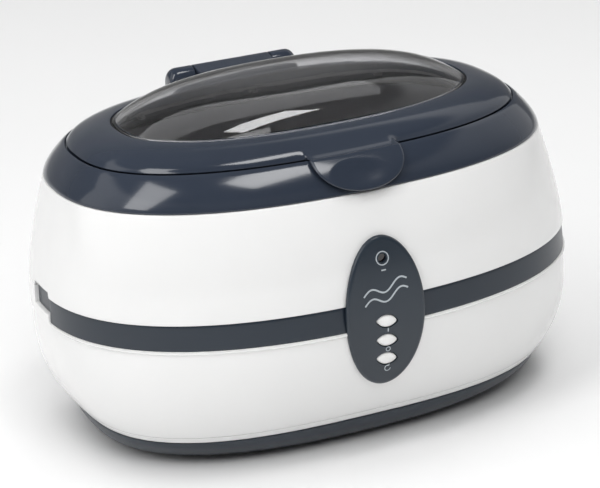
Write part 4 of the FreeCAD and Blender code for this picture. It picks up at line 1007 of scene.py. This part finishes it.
def arc(x, z, radius, low, high, count=24):
    turns = [math.radians(turn) for turn in spread(low, high, count)]
    return [(x + radius * math.cos(turn), z + radius * math.sin(turn)) for turn in turns]


def wave(x, z, length, rise, slant, count=60):
    """One and a half waves on a line that climbs to the right."""
    points = []
    for share in spread(0.0, 1.0, count):
        swing = math.sin(share * 3 * math.pi) * rise
        points.append((x + length * (share - 0.5), z + slant * (share - 0.5) + swing))
    return points


def make_print(name, lines, material):
    points = []
    faces = []
    for path, width, closed in lines:
        add_part(points, faces, *ribbon(path, width, closed))
    piece = to_piece(name, points, faces, material)
    return piece


def make_prints(material):
    """Plain marks: a ring and a short bar at the lamp, two waves, and one sign under each button."""
    lamp = [(circle(0, LAMP_Z, 2.35, 48), 0.4, True)]
    lamp.append(([(-0.9, LAMP_Z - 4.2), (0.9, LAMP_Z - 4.2)], 0.5, False))
    make_print("lamp_mark", lamp, material)
    waves = [(wave(0.0, 66.4, 17.0, 1.5, 4.0), 0.62, False), (wave(0.3, 62.9, 17.0, 1.5, 4.0), 0.62, False)]
    make_print("wave_mark", waves, material)
    on_z = BUTTON_HEIGHTS["on"] - 3.35
    off_z = BUTTON_HEIGHTS["off"] - 3.5
    reset_z = BUTTON_HEIGHTS["reset"] - 3.9
    make_print("on_mark", [([(0.3, on_z - 0.75), (0.3, on_z + 0.75)], 0.4, False)], material)
    make_print("off_mark", [(circle(0.3, off_z, 0.8, 28), 0.34, True)], material)
    turned = [(arc(0.3, reset_z, 1.1, 60, 350, 30), 0.34, False)]
    turned.append(([(0.85, reset_z + 1.6), (0.85, reset_z + 0.95), (0.2, reset_z + 0.8)], 0.34, False))
    make_print("reset_mark", turned, material)


# ------------------------------------------------------------------ finishes of the CAD nodes

CAD_FINISH = {
    "rubber": ("rubber_feet", "tank_gasket"),
    "black": ("mains_inlet", "tact_switches", "transistor"),
    "lamp": ("power_lamp",),
    "steel": ("base_screws", "case_screws", "deck_screws", "retainer_screws", "control_screws",
              "board_screws", "hinge_pin", "inlet_pins"),
    "stainless": ("tank", "window_retainer"),
    "aluminium": ("transducer_plate", "heat_sink", "capacitors"),
    "board": ("control_board", "driver_board"),
    "winding": ("transformer", "choke"),
    "ceramic": ("piezo_disc",),
    "fuse": ("fuse",),
    "lead": ("mains_leads", "transducer_leads", "control_leads"),
}


def finish_cad_nodes(made):
    for finish, names in CAD_FINISH.items():
        for name in names:
            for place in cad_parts[name].material_slots:
                place.material = made[finish]


# ------------------------------------------------------------------ floor, light and camera


def stage_material():
    material, nodes, links = new_material("studio_sweep")
    shader = nodes["Principled BSDF"]
    faint = noise(nodes, links, 3.0, 2.0)
    links.new(ramp(nodes, links, faint.outputs["Fac"], 0.3, grey(0.86), 0.7, grey(0.88)),
              shader.inputs["Base Color"])
    shader.inputs["Roughness"].default_value = 0.55
    return material


def make_floor():
    """Pale floor that sweeps up into a wall far behind."""
    outline = [(-2.2, 0.0), (2.6, 0.0)]
    for step in range(1, 25):
        turn = math.pi / 2 * step / 24
        outline.append((2.6 + 1.2 * math.sin(turn), 1.2 * (1 - math.cos(turn))))
    outline.append((3.8, 5.0))
    points = []
    for side in (-6.0, 6.0):
        points += [Vector((side, y, z)) for y, z in outline]
    mesh = bpy.data.meshes.new("studio_floor")
    mesh.from_pydata(points, [], grid_faces(2, len(outline), False, False))
    mesh.materials.append(stage_material())
    mesh.shade_smooth()
    floor = bpy.data.objects.new("studio_floor", mesh)
    bpy.context.scene.collection.objects.link(floor)


def soft_light(name, place, target, size_x, size_y, power):
    light = bpy.data.lights.new(name, "AREA")
    light.shape = "RECTANGLE"
    light.size = size_x
    light.size_y = size_y
    light.energy = power
    item = bpy.data.objects.new(name, light)
    item.location = place
    item.rotation_euler = (Vector(target) - Vector(place)).to_track_quat("-Z", "Y").to_euler()
    bpy.context.scene.collection.objects.link(item)
    return item


def dim(nodes, links, source, dark_at, full_at, darkest):
    """A factor that falls from 1 to its darkest along one direction."""
    item = nodes.new("ShaderNodeMapRange")
    item.inputs["From Min"].default_value = dark_at
    item.inputs["From Max"].default_value = full_at
    item.inputs["To Min"].default_value = darkest
    item.inputs["To Max"].default_value = 1.0
    links.new(source, item.inputs["Value"])
    return item.outputs["Result"]


def sky(nodes, links):
    """Studio surroundings: white behind and to the left, dimmer on the right, dark overhead and in front."""
    place = nodes.new("ShaderNodeTexCoord")
    parts = nodes.new("ShaderNodeSeparateXYZ")
    links.new(place.outputs["Generated"], parts.inputs["Vector"])
    rise = ramp(nodes, links, parts.outputs["Z"], 0.74, grey(1.0), 0.79, grey(0.14))
    back = dim(nodes, links, parts.outputs["Y"], -0.6, 0.2, 0.13)
    left = dim(nodes, links, parts.outputs["X"], 0.95, 0.25, 0.5)
    mixed = nodes.new("ShaderNodeMix")
    mixed.data_type = "RGBA"
    mixed.blend_type = "MULTIPLY"
    mixed.inputs["Factor"].default_value = 1.0
    links.new(rise, mixed.inputs["A"])
    both = nodes.new("ShaderNodeMath")
    both.operation = "MULTIPLY"
    links.new(back, both.inputs[0])
    links.new(left, both.inputs[1])
    links.new(both.outputs["Value"], mixed.inputs["B"])
    return mixed.outputs["Result"]


def make_lights():
    """Two softboxes that show as reflections, and two fills that only light."""
    middle = (0.0, 0.0, 0.06)
    soft_light("left_box", (-1.0, -0.4, 1.15), middle, 0.46, 1.15, 7.5)
    soft_light("top_box", (0.28, -0.42, 1.6), middle, 0.62, 0.30, 4.4)
    front_fill = soft_light("front_fill", (-0.15, -1.1, 1.35), middle, 0.9, 0.9, 12.0)
    over_fill = soft_light("over_fill", (0.0, 0.75, 1.9), (0.0, 0.75, 0.0), 2.4, 1.6, 22.0)
    for fill in (front_fill, over_fill):
        fill.visible_glossy = False
    world = bpy.data.worlds.new("studio_world")
    bpy.context.scene.world = world
    world.use_nodes = True
    tree = world.node_tree
    background = tree.nodes["Background"]
    background.inputs["Strength"].default_value = 1.0
    tree.links.new(sky(tree.nodes, tree.links), background.inputs["Color"])
    bpy.context.scene.view_settings.view_transform = "Standard"


def make_camera():
    """Long lens from the left front, a little above, with a slight roll."""
    azimuth = math.radians(-23.35)
    elevation = math.radians(20.38)
    roll = math.radians(-3.23)
    target = Vector((-1.47, 0.0, 59.57)) * MM
    back = Vector((
        math.sin(azimuth) * math.cos(elevation),
        -math.cos(azimuth) * math.cos(elevation),
        math.sin(elevation),
    ))
    right = Vector((0, 0, 1)).cross(back).normalized()
    up = back.cross(right)
    rolled_right = right * math.cos(roll) + up * math.sin(roll)
    rolled_up = up * math.cos(roll) - right * math.sin(roll)
    data = bpy.data.cameras.new("camera")
    data.lens = 144.05
    data.sensor_width = 36.0
    data.shift_x = 0.00728
    data.shift_y = 0.0008
    camera = bpy.data.objects.new("camera", data)
    turn = Matrix((rolled_right, rolled_up, back)).transposed()
    camera.matrix_world = Matrix.Translation(target + back * 0.9046) @ turn.to_4x4()
    bpy.context.scene.collection.objects.link(camera)
    bpy.context.scene.camera = camera


def build():
    made = make_materials()
    make_lower_shell(made["white"])
    make_upper_shell(made["white"])
    make_band(made["trim"])
    # the tray takes the darker trim colour: its own dark slate plus painted shade for the shade under the
    # body
    make_tray(made["trim"])
    make_deck(made["slate"])
    make_lid(made["slate"])
    make_window(made["glass"])
    make_gasket(made["rubber"])
    make_panel(made["panel"])
    for name in BUTTON_HEIGHTS:
        make_button(name, made["button"])
    make_prints(made["print"])
    finish_cad_nodes(made)
    make_floor()
    make_lights()
    make_camera()


build()
bpy.context.view_layer.update()
